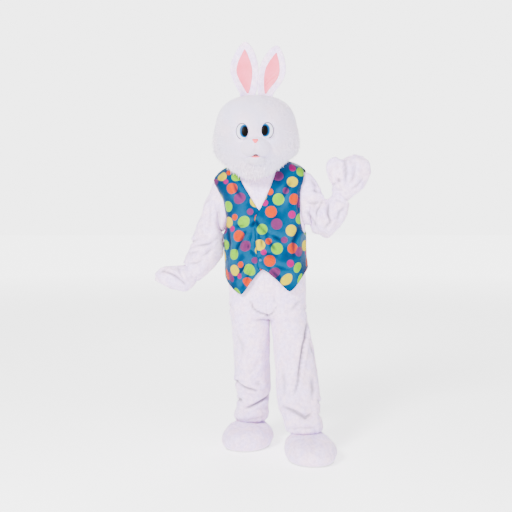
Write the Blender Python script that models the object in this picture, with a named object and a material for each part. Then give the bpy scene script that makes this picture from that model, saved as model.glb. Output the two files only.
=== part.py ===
"""A rabbit mascot costume as it is worn: head, coverall, vest, mitts and shoe covers.

Metres, +Z up, the front of the costume faces -Y and the wearer's left is at +X. The origin is between
the wearer's shoulders, where the coverall hangs. Every cloth piece is a closed wall: its outer points are
worked out from the tables below, its inner points lie one wall thickness further in, and neighbours along
a seam are parted by SEAM_GAP.
"""
import math

import bpy
import numpy as np
from mathutils.kdtree import KDTree

# ---------------------------------------------------------------- driving sizes
ORIGIN_HEIGHT = 1.500        # the origin above the floor
SEAM_GAP = 0.0003            # between two pieces sewn along one seam
REST_GAP = 0.0006            # between a piece and the one it lies on
PLUSH_WALL = 0.0040          # short plush with its nap
VEST_WALL = 0.0020           # satin with its facing
HEAD_WALL = 0.0240           # foam-backed shell with its long fur
RIM_WALL = 0.0120            # the same at the neck rim
SQUARENESS = 2.3             # 2 is an ellipse, more is boxier
COLUMNS = 8                  # columns across a quarter of the body
HEAD_COLUMNS = 24

WHITE_PLUSH = ("white_plush", (0.86, 0.84, 0.88), 0.9)
WHITE_FUR = ("white_long_fur", (0.88, 0.86, 0.90), 0.95)
PINK_SATIN = ("pink_satin", (0.86, 0.40, 0.48), 0.5)
BLUE_SATIN = ("blue_satin", (0.01, 0.14, 0.38), 0.4)
PINK_FELT = ("pink_felt", (0.85, 0.32, 0.38), 0.8)
EYE_PLASTIC = ("eye_plastic", (0.85, 0.90, 0.95), 0.15)
SOLE_VINYL = ("sole_vinyl", (0.75, 0.73, 0.74), 0.6)
BLUE_PLASTIC = ("blue_button", (0.01, 0.16, 0.40), 0.3)


class Table:
    """Named columns against the first one, read in between as a smooth curve."""

    def __init__(self, columns, *rows):
        self.columns = columns.split()
        self.rows = np.array(sorted(rows), float)

    def read(self, at):
        keys, values = self.rows[:, 0], self.rows[:, 1:]
        at = min(max(at, keys[0]), keys[-1])
        k = min(int(np.searchsorted(keys, at, side="right")) - 1, len(keys) - 2)
        step = keys[k + 1] - keys[k]
        t = (at - keys[k]) / step
        slopes = [self.slope(k), self.slope(k + 1)]
        found = (values[k] * (1 + 2 * t) * (1 - t) ** 2 + values[k + 1] * t * t * (3 - 2 * t)
                 + slopes[0] * step * t * (1 - t) ** 2 - slopes[1] * step * t * t * (1 - t))
        return dict(zip(self.columns[1:], found))

    def slope(self, k):
        keys, values = self.rows[:, 0], self.rows[:, 1:]
        low, high = max(k - 1, 0), min(k + 1, len(keys) - 1)
        return (values[high] - values[low]) / (keys[high] - keys[low])


# ---------------------------------------------------------------- the coverall's sections
# height above the floor, centre, half width, reach to the front and the back, turn of the body in degrees
TORSO = Table("height x y side front back turn",
              (0.690, 0.077, 0.000, 0.215, 0.150, 0.160, -3),
              (0.800, 0.066, 0.000, 0.214, 0.150, 0.158, -4),
              (0.900, 0.062, 0.000, 0.213, 0.148, 0.152, -6),
              (1.000, 0.056, 0.000, 0.213, 0.148, 0.146, -8),
              (1.130, 0.052, 0.000, 0.215, 0.150, 0.144, -11),
              (1.250, 0.052, 0.000, 0.221, 0.154, 0.146, -12),
              (1.360, 0.045, 0.002, 0.232, 0.152, 0.146, -12),
              (1.430, 0.038, 0.004, 0.240, 0.143, 0.138, -12),
              (1.465, 0.034, 0.006, 0.236, 0.134, 0.130, -12),
              (1.492, 0.031, 0.008, 0.222, 0.125, 0.122, -11),
              (1.520, 0.028, 0.009, 0.187, 0.114, 0.112, -9),
              (1.541, 0.024, 0.010, 0.148, 0.102, 0.101, -7),
              (1.557, 0.021, 0.010, 0.118, 0.093, 0.0895, -6),
              (1.577, 0.018, 0.010, 0.091, 0.085, 0.078, -5),
              (1.597, 0.018, 0.010, 0.083, 0.081, 0.0755, -5))
CROTCH_HEIGHT = 0.690
HIP_HEIGHT = 0.800
ARMHOLE_LOW, ARMHOLE_HIGH = 1.215, 1.475
ARMHOLE_HALF_TURN = 27       # how far the armhole reaches round from the side, in degrees
NECK_HEIGHT = 1.597
SHOULDER_LIFT = 0.030        # the raised arm lifts its shoulder
LIFT_FROM, LIFT_TO = 1.20, 1.46

# height, centre, half width, half depth of each leg; the last row is the gathered ankle
LEGS = {
    "right": Table("height x y wide deep",
                   (0.138, -0.026, 0.046, 0.071, 0.074), (0.150, -0.027, 0.046, 0.090, 0.098),
                   (0.172, -0.025, 0.044, 0.097, 0.106), (0.200, -0.022, 0.042, 0.090, 0.100),
                   (0.257, -0.017, 0.038, 0.087, 0.098), (0.310, -0.016, 0.034, 0.096, 0.104),
                   (0.360, -0.020, 0.030, 0.097, 0.106), (0.440, -0.018, 0.024, 0.096, 0.112),
                   (0.526, -0.017, 0.018, 0.098, 0.122), (0.610, -0.024, 0.014, 0.102, 0.134),
                   (0.690, -0.030, 0.010, 0.107, 0.150)),
    "left": Table("height x y wide deep",
                  (0.138, 0.258, -0.222, 0.071, 0.074), (0.150, 0.257, -0.222, 0.090, 0.098),
                  (0.172, 0.252, -0.218, 0.100, 0.106), (0.210, 0.240, -0.206, 0.104, 0.106),
                  (0.250, 0.233, -0.190, 0.112, 0.110), (0.300, 0.228, -0.170, 0.116, 0.114),
                  (0.400, 0.217, -0.130, 0.112, 0.116), (0.526, 0.202, -0.084, 0.106, 0.124),
                  (0.610, 0.194, -0.048, 0.105, 0.134), (0.690, 0.184, -0.010, 0.107, 0.150)),
}
ANKLE_HEIGHT = 0.138
SIDES = {"left": 1, "right": -1}

# sleeve rings: upper edge x and height, lower edge x and height, centre and half depth
SLEEVES = {
    "right": Table("ring top_x top_h low_x low_h y deep",
                   (1, -0.240, 1.440, -0.205, 1.222, 0.046, 0.064),
                   (2, -0.268, 1.368, -0.202, 1.198, 0.045, 0.070),
                   (3, -0.297, 1.285, -0.190, 1.160, 0.042, 0.080),
                   (4, -0.325, 1.210, -0.180, 1.122, 0.030, 0.084),
                   (5, -0.350, 1.140, -0.177, 1.078, 0.016, 0.086),
                   (6, -0.368, 1.090, -0.190, 1.032, 0.004, 0.082),
                   (7, -0.380, 1.050, -0.226, 0.982, -0.010, 0.074),
                   (8, -0.388, 1.020, -0.276, 0.938, -0.026, 0.064),
                   (9, -0.388, 1.006, -0.318, 0.908, -0.036, 0.058)),
    "left": Table("ring top_x top_h low_x low_h y deep",
                  (1, 0.292, 1.488, 0.292, 1.240, -0.050, 0.064),
                  (2, 0.316, 1.462, 0.300, 1.218, -0.052, 0.070),
                  (3, 0.338, 1.426, 0.310, 1.182, -0.058, 0.082),
                  (4, 0.356, 1.394, 0.343, 1.158, -0.066, 0.084),
                  (5, 0.364, 1.360, 0.394, 1.146, -0.078, 0.086),
                  (6, 0.384, 1.352, 0.438, 1.188, -0.092, 0.080),
                  (7, 0.402, 1.364, 0.468, 1.230, -0.106, 0.072),
                  (8, 0.408, 1.386, 0.490, 1.294, -0.118, 0.064),
                  (9, 0.404, 1.412, 0.494, 1.336, -0.126, 0.058)),
}
SLEEVE_RINGS = 14

# mitt outlines from the wrist (0) to the tip (1): the thumb edge, the little-finger edge, half depth
MITTS = {
    "left": dict(
        outline=Table("at edge_x edge_h far_x far_h deep",
                      (0.00, 0.4045, 1.429, 0.499, 1.353, 0.050), (0.15, 0.396, 1.447, 0.522, 1.373, 0.056),
                      (0.35, 0.380, 1.482, 0.570, 1.410, 0.058), (0.55, 0.372, 1.520, 0.602, 1.462, 0.054),
                      (0.75, 0.380, 1.552, 0.610, 1.514, 0.044), (0.90, 0.392, 1.568, 0.598, 1.552, 0.030),
                      (1.00, 0.404, 1.574, 0.568, 1.580, 0.000)),
        crown=((0.0, 0.0), (0.12, 0.004), (0.30, -0.012), (0.50, 0.002), (0.72, 0.012), (1.0, 0.0)),
        y=-0.128, lean=-0.10),
    "right": dict(
        outline=Table("at edge_x edge_h far_x far_h deep",
                      (0.00, -0.394, 0.998, -0.326, 0.900, 0.050),
                      (0.15, -0.414, 0.994, -0.356, 0.866, 0.056),
                      (0.35, -0.444, 0.990, -0.392, 0.850, 0.058),
                      (0.55, -0.480, 0.990, -0.436, 0.860, 0.056),
                      (0.75, -0.516, 0.978, -0.486, 0.878, 0.048),
                      (0.90, -0.538, 0.962, -0.522, 0.898, 0.034),
                      (1.00, -0.549, 0.950, -0.547, 0.914, 0.000)),
        crown=((0.0, 0.0), (0.5, 0.008), (1.0, 0.0)),
        y=-0.040, lean=-0.16),
}

MITT_COLUMNS = 9
CUFF_RINGS = (8.55, 9.0)      # where the mitt's cuff lies inside the sleeve
CUFF_FIT = (0.86, 0.90, 0.86)        # its size as a share of the sleeve's end

# the vest stands off the coverall by these eases
VEST = Table("height side front",
             (0.840, 0.018, 0.024), (0.950, 0.014, 0.016), (1.050, 0.010, 0.010), (1.200, 0.010, 0.007),
             (1.300, 0.022, 0.006), (1.400, 0.018, 0.005), (1.470, 0.010, 0.004), (1.500, 0.0065, 0.0026),
             (1.580, 0.0035, 0.0024))
VEST_ARMHOLE_LOW, VEST_ARMHOLE_HIGH = 1.170, 1.488
VEST_ARMHOLE_HALF_TURN = 33
VEST_WAIST = 1.010           # the rows below it run to the pointed hem
VEST_TOP = 1.561
VEST_V = Table("height aside", (1.290, 0.000), (1.380, 0.050), (1.457, 0.098), (1.500, 0.108),
               (1.535, 0.106), (1.561, 0.098))
VEST_SIDE_HEM = {"left": 0.985, "right": 0.962}
VEST_FRONT_HEM = {           # turn from the centre front in degrees, height of the hem
    "left": Table("turn height", (-8, 0.985), (0, 0.982), (12, 0.935), (28, 0.868), (34, 0.866),
                  (60, 0.940), (90, VEST_SIDE_HEM["left"])),
    "right": Table("turn height", (-6, 0.990), (0, 0.980), (12, 0.925), (28, 0.850), (34, 0.847),
                   (60, 0.905), (90, VEST_SIDE_HEM["right"])),
}
VEST_COLUMNS = 10
VEST_LAP = {"left": 8, "right": 6}      # turn past the centre front
LAP_RISE = 0.0036            # the upper front over the lower one
BUTTON_TURN, BUTTON_HEIGHT, BUTTON_RADIUS, BUTTON_THICK = -1.0, 1.030, 0.0075, 0.003

# ---------------------------------------------------------------- head
HEAD_X, HEAD_Y, HEAD_TURN = 0.001, -0.045, -3
HEAD = Table("height side front back",
             (1.430, 0.088, 0.150, 0.090), (1.470, 0.130, 0.178, 0.115), (1.500, 0.160, 0.189, 0.130),
             (1.530, 0.184, 0.197, 0.142), (1.560, 0.203, 0.203, 0.152), (1.600, 0.221, 0.209, 0.163),
             (1.650, 0.231, 0.212, 0.174), (1.700, 0.230, 0.209, 0.181), (1.750, 0.221, 0.201, 0.182),
             (1.800, 0.209, 0.189, 0.175), (1.840, 0.189, 0.169, 0.161), (1.870, 0.161, 0.145, 0.140),
             (1.893, 0.122, 0.112, 0.110), (1.907, 0.076, 0.071, 0.070), (1.914, 0.030, 0.028, 0.028),
             (1.916, 0.001, 0.001, 0.001))
HEAD_RIM = Table("turn height", (-180, 1.5622), (-140, 1.566), (-100, 1.585), (-80, 1.576), (-60, 1.530),
                 (-35, 1.470), (0, 1.448), (35, 1.476), (60, 1.546), (80, 1.590), (100, 1.600),
                 (140, 1.574), (180, 1.5622))
HEAD_ROWS = 13
EYES = {"left": (0.0600, 1.7100), "right": (-0.0725, 1.7060)}
EYE_HALF, EYE_RISE = (0.0330, 0.0440), 0.006
MUZZLE_CENTRE, MUZZLE_HALF, MUZZLE_RISE = (-0.003, 1.630), (0.076, 0.053), 0.044
JAW_CENTRE, JAW_HALF, JAW_RISE = (-0.002, 1.556), (0.044, 0.017), 0.022
NOSE_AT, NOSE_HALF, NOSE_RISE = (-0.0035, 1.6640), (0.0170, 0.0115), 0.010
MOUTH_AT, MOUTH_HALF, MOUTH_RISE = (-0.003, 1.5835), (0.0235, 0.0082), 0.012

# ears: share of the length, centre x and height of the mid line, half width, how far the edges come forward
EARS = {
    "right": Table("at x height half cup",
                   (0.00, -0.044, 1.915, 0.040, 0.022), (0.15, -0.048, 1.950, 0.054, 0.024),
                   (0.45, -0.062, 2.036, 0.075, 0.020), (0.65, -0.064, 2.094, 0.070, 0.014),
                   (0.85, -0.061, 2.154, 0.046, 0.006), (0.95, -0.060, 2.185, 0.024, 0.002),
                   (1.00, -0.059, 2.198, 0.009, 0.000)),
    "left": Table("at x height half cup",
                  (0.00, 0.050, 1.912, 0.037, 0.022), (0.15, 0.058, 1.948, 0.049, 0.024),
                  (0.45, 0.084, 2.026, 0.070, 0.020), (0.65, 0.098, 2.080, 0.066, 0.014),
                  (0.85, 0.109, 2.136, 0.044, 0.006), (0.95, 0.114, 2.164, 0.024, 0.002),
                  (1.00, 0.116, 2.177, 0.009, 0.000)),
}
EAR_LEAN = {"right": -0.10, "left": 0.34}    # lateral lean of the ear's cross line
EAR_Y, EAR_THICK, LINING_THICK = -0.044, 0.014, 0.003
LINING_GAP = 0.0009
EAR_ROWS, EAR_COLUMNS = 11, 9
LINING_REACH, LINING_SHARE = (0.04, 0.86), 0.66

# shoe covers: centre of the sole, half width, half length, toe-out turn
SHOES = {"right": dict(x=-0.045, y=-0.048, turn=-20), "left": dict(x=0.284, y=-0.328, turn=7)}
SHOE_HALF_WIDE, SHOE_HALF_LONG = 0.134, 0.178
SOLE_THICK, SOLE_SPREAD = 0.008, 0.90
SHOE_WALL = 0.006
ANKLE_EASE = 0.0028          # the shoe's collar inside the coverall's ankle
SHOE_ROWS = (                # height, share of the outline, blend into the ankle's opening
    (0.0084, 0.900, 0.00), (0.024, 0.970, 0.00), (0.048, 1.000, 0.00), (0.076, 0.965, 0.04),
    (0.100, 0.880, 0.14), (0.119, 0.740, 0.36), (0.129, 0.620, 0.70), (0.134, 0.600, 1.00),
    (0.166, 0.600, 1.00))


# ---------------------------------------------------------------- mesh helpers
def material(kind):
    name, colour, roughness = kind
    found = bpy.data.materials.get(name)
    if found:
        return found
    made = bpy.data.materials.new(name)
    made.use_nodes = True
    shader = made.node_tree.nodes["Principled BSDF"]
    shader.inputs["Base Color"].default_value = (*colour, 1.0)
    shader.inputs["Roughness"].default_value = roughness
    shader.inputs["Metallic"].default_value = 0.0
    return made


def add_object(name, points, faces, kind):
    mesh = bpy.data.meshes.new(name)
    mesh.from_pydata([tuple(p) for p in points], [], faces)
    mesh.shade_smooth()
    mesh.set_sharp_from_angle(angle=math.radians(50))
    made = bpy.data.objects.new(name, mesh)
    made.data.materials.append(material(kind))
    bpy.context.scene.collection.objects.link(made)
    return made


def triangles(grid_shape, closed):
    """Two triangles for each cell of a grid whose outer side faces out."""
    rows, columns = grid_shape
    made = []
    for r in range(rows - 1):
        for c in range(columns if closed else columns - 1):
            a, b = r * columns + c, r * columns + (c + 1) % columns
            d, e = a + columns, b + columns
            made += [(a, b, e), (a, e, d)]
    return made


class Skin:
    """Panels that share seams: their normals are worked out together, so their walls meet edge to edge."""

    def __init__(self):
        self.panels = {}

    def add(self, name, grid, kind, wall, closed=False, flip=False, gaps="lr"):
        grid = np.array(grid, float)
        grid = grid[:, ::-1] if flip else grid
        self.panels[name] = (grid, kind, wall, closed, gaps)

    def normals(self):
        points, sums = [], []
        for grid, _, _, closed, _ in self.panels.values():
            flat = grid.reshape(-1, 3)
            total = np.zeros_like(flat)
            for face in triangles(grid.shape[:2], closed):
                a, b, c = flat[list(face)]
                total[list(face)] += np.cross(b - a, c - a)
            points.append(flat)
            sums.append(total)
        every, total = np.vstack(points), np.vstack(sums)
        tree = KDTree(len(every))
        for i, p in enumerate(every):
            tree.insert(p, i)
        tree.balance()
        shared = np.array([total[[i for _, i, _ in tree.find_range(p, 2e-5)]].sum(axis=0) for p in every])
        shared /= np.maximum(np.linalg.norm(shared, axis=1, keepdims=True), 1e-12)
        found, start = {}, 0
        for name, (grid, *_) in self.panels.items():
            size = grid.shape[0] * grid.shape[1]
            found[name] = shared[start:start + size].reshape(grid.shape)
            start += size
        return found

    def build(self):
        normals = self.normals()
        for name, (grid, kind, wall, closed, gaps) in self.panels.items():
            normal = normals[name]
            thickness = wall if np.ndim(wall) else np.full(grid.shape[:2], wall)
            back = seam_shift(grid, normal, closed, gaps)
            inner = grid - normal * thickness[..., None]
            add_wall(name, grid + back, inner + back, kind, closed)


def seam_shift(grid, normal, closed, gaps):
    """How far each edge point is drawn back, square to its seam: half the seam gap."""
    rows, columns = grid.shape[:2]
    last_row, last_column = rows - 1, columns - 1
    edges = {"b": [(0, c) for c in range(columns)], "t": [(last_row, c) for c in range(columns)][::-1]}
    if closed:
        edges["b"].append((0, 0))
        edges["t"].append((last_row, last_column))
    else:
        edges["r"] = [(r, last_column) for r in range(rows)]
        edges["l"] = [(r, 0) for r in range(rows)][::-1]
    pulls = {}
    for side in gaps:
        for here, after in zip(edges[side], edges[side][1:]):
            inward = np.cross(normal[here] + normal[after], grid[after] - grid[here])
            inward /= max(np.linalg.norm(inward), 1e-9)
            pulls.setdefault(here, []).append(inward)
            pulls.setdefault(after, []).append(inward)
    shift = np.zeros_like(grid)
    for at, found in pulls.items():
        first, last = found[0], found[-1]
        shift[at] = (first + last) / max(1 + first @ last, 0.5) * SEAM_GAP * 0.6
    return shift


def add_wall(name, outer, inner, kind, closed):
    """A closed wall between two grids of the same shape."""
    rows, columns = outer.shape[:2]
    size = rows * columns
    skin = triangles((rows, columns), closed)
    faces = skin + [(c + size, b + size, a + size) for a, b, c in skin]
    rim = []
    for r in (0, rows - 1):
        for c in range(columns if closed else columns - 1):
            pair = (r * columns + c, r * columns + (c + 1) % columns)
            rim.append(pair if r else pair[::-1])
    if not closed:
        for r in range(rows - 1):
            rim.append((r * columns, (r + 1) * columns))
            rim.append(((r + 2) * columns - 1, (r + 1) * columns - 1))
    points = np.vstack([outer.reshape(-1, 3), inner.reshape(-1, 3)])
    for a, b in rim:
        # the shorter diagonal, so that two walls that meet here are cut the same way
        if np.linalg.norm(points[a] - points[b + size]) < np.linalg.norm(points[b] - points[a + size]):
            faces += [(a, b, b + size), (a, b + size, a + size)]
        else:
            faces += [(a, b, a + size), (b, b + size, a + size)]
    return add_object(name, points, faces, kind)


def to_row(points):
    """From heights above the floor to the row's own frame."""
    moved = np.array(points, float)
    moved[..., 2] -= ORIGIN_HEIGHT
    return moved


def smooth_step(low, high, value):
    t = min(max((value - low) / (high - low), 0.0), 1.0)
    return t * t * (3 - 2 * t)


def section_point(sides, turn):
    """A point of a squarish oval: sideways and forwards shares for a turn from the front, in degrees."""
    s, c = math.sin(math.radians(turn)), math.cos(math.radians(turn))
    power = 2 / SQUARENESS
    aside = math.copysign(abs(s) ** power, s) * sides[0]
    ahead = math.copysign(abs(c) ** power, c) * (sides[1] if c > 0 else sides[2])
    return aside, ahead


def turned(x, y, aside, ahead, turn):
    """Aside is towards the wearer's left and ahead is to the front, turned about the vertical."""
    s, c = math.sin(math.radians(turn)), math.cos(math.radians(turn))
    return x + aside * c + ahead * s, y + aside * s - ahead * c


def torso_point(turn, height, ease_side=0.0, ease_front=0.0, rise=0.0):
    row = TORSO.read(height)
    sides = (row["side"] + ease_side, row["front"] + ease_front, row["back"] + ease_front)
    aside, ahead = section_point(sides, turn)
    lift = SHOULDER_LIFT * smooth_step(LIFT_FROM, LIFT_TO, height)
    lift *= smooth_step(0.02, 0.24, aside)
    x, y = turned(row["x"], row["y"], aside, ahead, row["turn"])
    return x, y, height + lift + rise


def rounded_steps(low, high, count):
    """Steps that crowd towards both ends, as a round hole needs."""
    middle, half = (low + high) / 2, (high - low) / 2
    return [middle - half * math.cos(math.pi * i / (count - 1)) for i in range(count)]


def armhole_turn(height, low, high, half_turn):
    """The turn at which a front panel's side edge lies."""
    share = (height - (low + high) / 2) / ((high - low) / 2)
    return 90 - half_turn * math.sqrt(max(1 - share * share, 0.0)) if abs(share) < 1 else 90.0


# ---------------------------------------------------------------- coverall
def torso_heights():
    rows = list(np.linspace(HIP_HEIGHT, ARMHOLE_LOW, 6))
    rows += rounded_steps(ARMHOLE_LOW, ARMHOLE_HIGH, 9)[1:]
    return rows + [1.490, 1.508, 1.525, 1.541, 1.556, 1.573, NECK_HEIGHT]


def leg_point(side, turn, height, back):
    """A point of a leg's section; the turn runs from the inseam (0) to the side seam (180)."""
    row = LEGS[side].read(height)
    angle = math.radians(turn)
    away = -math.cos(angle) * row["wide"] * SIDES[side]
    ahead = math.sin(angle) ** 0.87 * row["deep"] if turn < 179.9 else 0.0
    return row["x"] + away, row["y"] + (ahead if back else -ahead), height


def body_panel(side, back):
    """Half of the coverall's front or back: a leg half below, a quarter of the torso above."""
    sign = SIDES[side]
    grid = []
    for height in leg_heights():
        grid.append([leg_point(side, 180 * q, height, back) for q in np.linspace(0, 1, COLUMNS)])
    for share in np.linspace(0, 1, 7)[1:-1]:
        grid.append(crotch_row(side, back, share))
    for height in torso_heights():
        edge = armhole_turn(height, ARMHOLE_LOW, ARMHOLE_HIGH, ARMHOLE_HALF_TURN)
        turns = [sign * (180 - edge * q if back else edge * q) for q in np.linspace(0, 1, COLUMNS)]
        grid.append([torso_point(turn, height) for turn in turns])
    return to_row(grid)


def leg_heights():
    return [0.138, 0.150, 0.172, 0.205, 0.255, 0.310, 0.370, 0.440, 0.520, 0.600, CROTCH_HEIGHT]


def crotch_row(side, back, share):
    """Rows between the legs and the torso: the centre seam curves under from front to back."""
    rise = math.sin(share * math.pi / 2)
    height = CROTCH_HEIGHT + (HIP_HEIGHT - CROTCH_HEIGHT) * (1 - math.cos(share * math.pi / 2))
    blend = rise * rise * (3 - 2 * rise) if share < 1 else 1.0
    row = []
    for q in np.linspace(0, 1, COLUMNS):
        leg = np.array(leg_point(side, 180 * q, CROTCH_HEIGHT, back))
        turn = SIDES[side] * (180 - 90 * q if back else 90 * q)
        torso = np.array(torso_point(turn, HIP_HEIGHT))
        point = leg * (1 - blend) + torso * blend
        point[2] = height
        row.append(point)
    return row


def armhole_ring(side):
    """The armhole from its lowest point up the front and down the back."""
    sign = SIDES[side]
    heights = rounded_steps(ARMHOLE_LOW, ARMHOLE_HIGH, 9)
    ring = []
    for height in heights:
        ring.append(torso_point(sign * armhole_turn(height, ARMHOLE_LOW, ARMHOLE_HIGH,
                                                    ARMHOLE_HALF_TURN), height))
    for height in heights[-2:0:-1]:
        edge = armhole_turn(height, ARMHOLE_LOW, ARMHOLE_HIGH, ARMHOLE_HALF_TURN)
        ring.append(torso_point(sign * (180 - edge), height))
    return np.array(ring)


def sleeve_ring(side, ring, count):
    """A sleeve's section, starting at its lower edge and going over the front to the upper edge."""
    row = SLEEVES[side].read(ring)
    points = []
    for i in range(count):
        angle = 2 * math.pi * i / count
        up, ahead = (1 - math.cos(angle)) / 2, math.sin(angle)
        points.append((row["low_x"] + (row["top_x"] - row["low_x"]) * up, row["y"] - ahead * row["deep"],
                       row["low_h"] + (row["top_h"] - row["low_h"]) * up))
    return np.array(points)


def sleeve_grid(side):
    root = armhole_ring(side)
    grid = [root]
    for ring in np.linspace(1, 9, SLEEVE_RINGS):
        grid.append(sleeve_ring(side, ring, len(root)))
    return to_row(grid)


def coverall():
    skin = Skin()
    for side in SIDES:
        front_flip = side == "right"
        skin.add(f"coverall_front_{side}", body_panel(side, False), WHITE_PLUSH, PLUSH_WALL, flip=front_flip)
        skin.add(f"coverall_back_{side}", body_panel(side, True), WHITE_PLUSH, PLUSH_WALL,
                 flip=not front_flip)
        skin.add(f"sleeve_{side}", sleeve_grid(side), WHITE_PLUSH, PLUSH_WALL, closed=True,
                 flip=side == "left", gaps="b")
    skin.build()


# ---------------------------------------------------------------- vest
def vest_point(turn, height, rise=0.0):
    ease = VEST.read(height)
    return torso_point(turn, height, ease["side"] + rise, ease["front"] + rise,
                       0.0022 * smooth_step(1.44, 1.50, height))


def v_turn(height):
    """The turn at which the V neck's edge lies."""
    aside = VEST_V.read(height)["aside"]
    share = min(aside / TORSO.read(height)["side"], 1.0)
    return math.degrees(math.asin(share ** (SQUARENESS / 2)))


def vest_heights():
    rows = list(np.linspace(VEST_WAIST, VEST_ARMHOLE_LOW, 4))
    rows += rounded_steps(VEST_ARMHOLE_LOW, VEST_ARMHOLE_HIGH, 8)[1:]
    return rows + [1.508, 1.527, 1.545, VEST_TOP]


def vest_front(side):
    sign, grid = SIDES[side], []
    lap = VEST_LAP[side]
    for share in np.linspace(0, 1, 5)[:-1]:
        row = []
        for q in np.linspace(0, 1, VEST_COLUMNS):
            turn = -lap + (90 + lap) * q
            hem = VEST_FRONT_HEM[side].read(turn)["height"]
            row.append(vest_point(sign * turn, hem + (VEST_WAIST - hem) * share, lap_rise(side, turn)))
        grid.append(row)
    for height in vest_heights():
        start = v_turn(height) if height > 1.30 else -lap * smooth_step(1.30, 1.24, height)
        edge = armhole_turn(height, VEST_ARMHOLE_LOW, VEST_ARMHOLE_HIGH, VEST_ARMHOLE_HALF_TURN)
        turns = [start + (edge - start) * q for q in np.linspace(0, 1, VEST_COLUMNS)]
        grid.append([vest_point(sign * turn, height, lap_rise(side, turn)) for turn in turns])
    return to_row(grid)


def lap_rise(side, turn):
    return LAP_RISE * (1 - smooth_step(10, 24, turn)) if side == "left" else 0.0


def vest_back():
    grid = []
    count = 2 * VEST_COLUMNS - 5
    for share in np.linspace(0, 1, 5)[:-1]:
        row = []
        for q in np.linspace(0, 1, count):
            hem = VEST_SIDE_HEM["left"] * (1 - q) + VEST_SIDE_HEM["right"] * q
            turn = 90 + 180 * q
            row.append(vest_point(turn if turn <= 180 else turn - 360, hem + (VEST_WAIST - hem) * share))
        grid.append(row)
    for height in vest_heights():
        edge = armhole_turn(height, VEST_ARMHOLE_LOW, VEST_ARMHOLE_HIGH, VEST_ARMHOLE_HALF_TURN)
        start = 180 - edge
        turns = [start + (360 - 2 * start) * q for q in np.linspace(0, 1, count)]
        turns = [turn if turn <= 180 else turn - 360 for turn in turns]
        grid.append([vest_point(turn, height) for turn in turns])
    return to_row(grid)


def vest():
    skin = Skin()
    for side in SIDES:
        skin.add(f"vest_front_{side}", vest_front(side), BLUE_SATIN, VEST_WALL, flip=side == "right",
                 gaps="r")
    skin.add("vest_back", vest_back(), BLUE_SATIN, VEST_WALL)
    skin.build()


# ---------------------------------------------------------------- mitts
def cuff_row(side, back, ring):
    """Half of the mitt's cuff, from its thumb edge to its far edge, tucked just inside the sleeve's end."""
    points = sleeve_ring(side, ring, 2 * MITT_COLUMNS - 2)
    middle = points.mean(axis=0)
    points = middle + (points - middle) * CUFF_FIT
    half = MITT_COLUMNS - 1
    return points[half:].tolist() + [points[0].tolist()] if back else points[half::-1].tolist()


def mitt_grid(side, back, rows=8, columns=MITT_COLUMNS):
    """The palm or the back of a mitt: straight rows between its edges, bulged away from the side seam."""
    mitt = MITTS[side]
    crown = Table("across up", *mitt["crown"])
    grid = [cuff_row(side, back, ring) for ring in CUFF_RINGS]
    for k in range(rows):
        at = math.sin(math.pi / 2 * k / (rows - 1))
        row = mitt["outline"].read(at)
        line = []
        for i in range(columns):
            across = (1 - math.cos(math.pi * i / (columns - 1))) / 2
            bulge = math.sin(math.pi * i / (columns - 1)) ** 0.8 * row["deep"]
            x = row["edge_x"] + (row["far_x"] - row["edge_x"]) * across
            height = row["edge_h"] + (row["far_h"] - row["edge_h"]) * across
            height += crown.read(across)["up"] * at ** 3
            lean = mitt["lean"] * at * 0.2
            line.append((x, mitt["y"] + lean + (bulge if back else -bulge), height))
        grid.append(line)
    return to_row(grid)


def mitts():
    for side in SIDES:
        skin = Skin()
        flip = side == "right"
        skin.add(f"mitt_palm_{side}", mitt_grid(side, False), WHITE_PLUSH, PLUSH_WALL, flip=flip, gaps="rtl")
        skin.add(f"mitt_back_{side}", mitt_grid(side, True), WHITE_PLUSH, PLUSH_WALL, flip=not flip,
                 gaps="rtl")
        skin.build()


# ---------------------------------------------------------------- head
def head_point(turn, height):
    row = HEAD.read(height)
    aside, ahead = section_point((row["side"], row["front"], row["back"]), turn)
    x, y = turned(HEAD_X, HEAD_Y, aside, ahead, HEAD_TURN)
    return x, y, height


def head_grid(back):
    """Half of the head from its neck rim to the crown, split over the ears."""
    start = 90 if back else -90
    grid = []
    for k in range(HEAD_ROWS):
        share = math.sin(math.pi / 2 * k / (HEAD_ROWS - 1))
        row = []
        for q in np.linspace(0, 1, HEAD_COLUMNS // 2 + 1):
            turn = start + 180 * q
            turn = turn if turn <= 180 else turn - 360
            rim = HEAD_RIM.read(turn)["height"]
            row.append(head_point(turn, rim + (HEAD.rows[-1, 0] - rim) * share))
        grid.append(row)
    return to_row(grid)


def head():
    skin = Skin()
    wall = np.full((HEAD_ROWS, HEAD_COLUMNS // 2 + 1), HEAD_WALL)
    wall[0] = RIM_WALL
    wall[1] = (RIM_WALL + HEAD_WALL) / 2
    skin.add("head_front", head_grid(False), WHITE_FUR, wall, gaps="lr")
    skin.add("head_back", head_grid(True), WHITE_FUR, wall, gaps="lr")
    skin.build()


def face_depth(x, height):
    """The y of the head's front at a place on the face."""
    low, high = -88.0, 88.0
    for _ in range(30):
        middle = (low + high) / 2
        if head_point(middle, height)[0] < x:
            low = middle
        else:
            high = middle
    return head_point(low, height)[1]


def crown_height(x, y):
    """The height of the head's top over a place on the plan."""
    low, high = 1.70, float(HEAD.rows[-1, 0])
    for _ in range(30):
        middle = (low + high) / 2
        row = HEAD.read(middle)
        ahead, reach = HEAD_Y - y, row["front"] if y < HEAD_Y else row["back"]
        inside = (abs(x - HEAD_X) / row["side"]) ** SQUARENESS + (abs(ahead) / reach) ** SQUARENESS < 1
        low, high = (middle, high) if inside else (low, middle)
    return low


def dome(rise, power=0.5):
    """A round swelling that is highest in the middle."""
    return lambda share, x, height: rise * max(1 - share * share, 0.0) ** power


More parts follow.
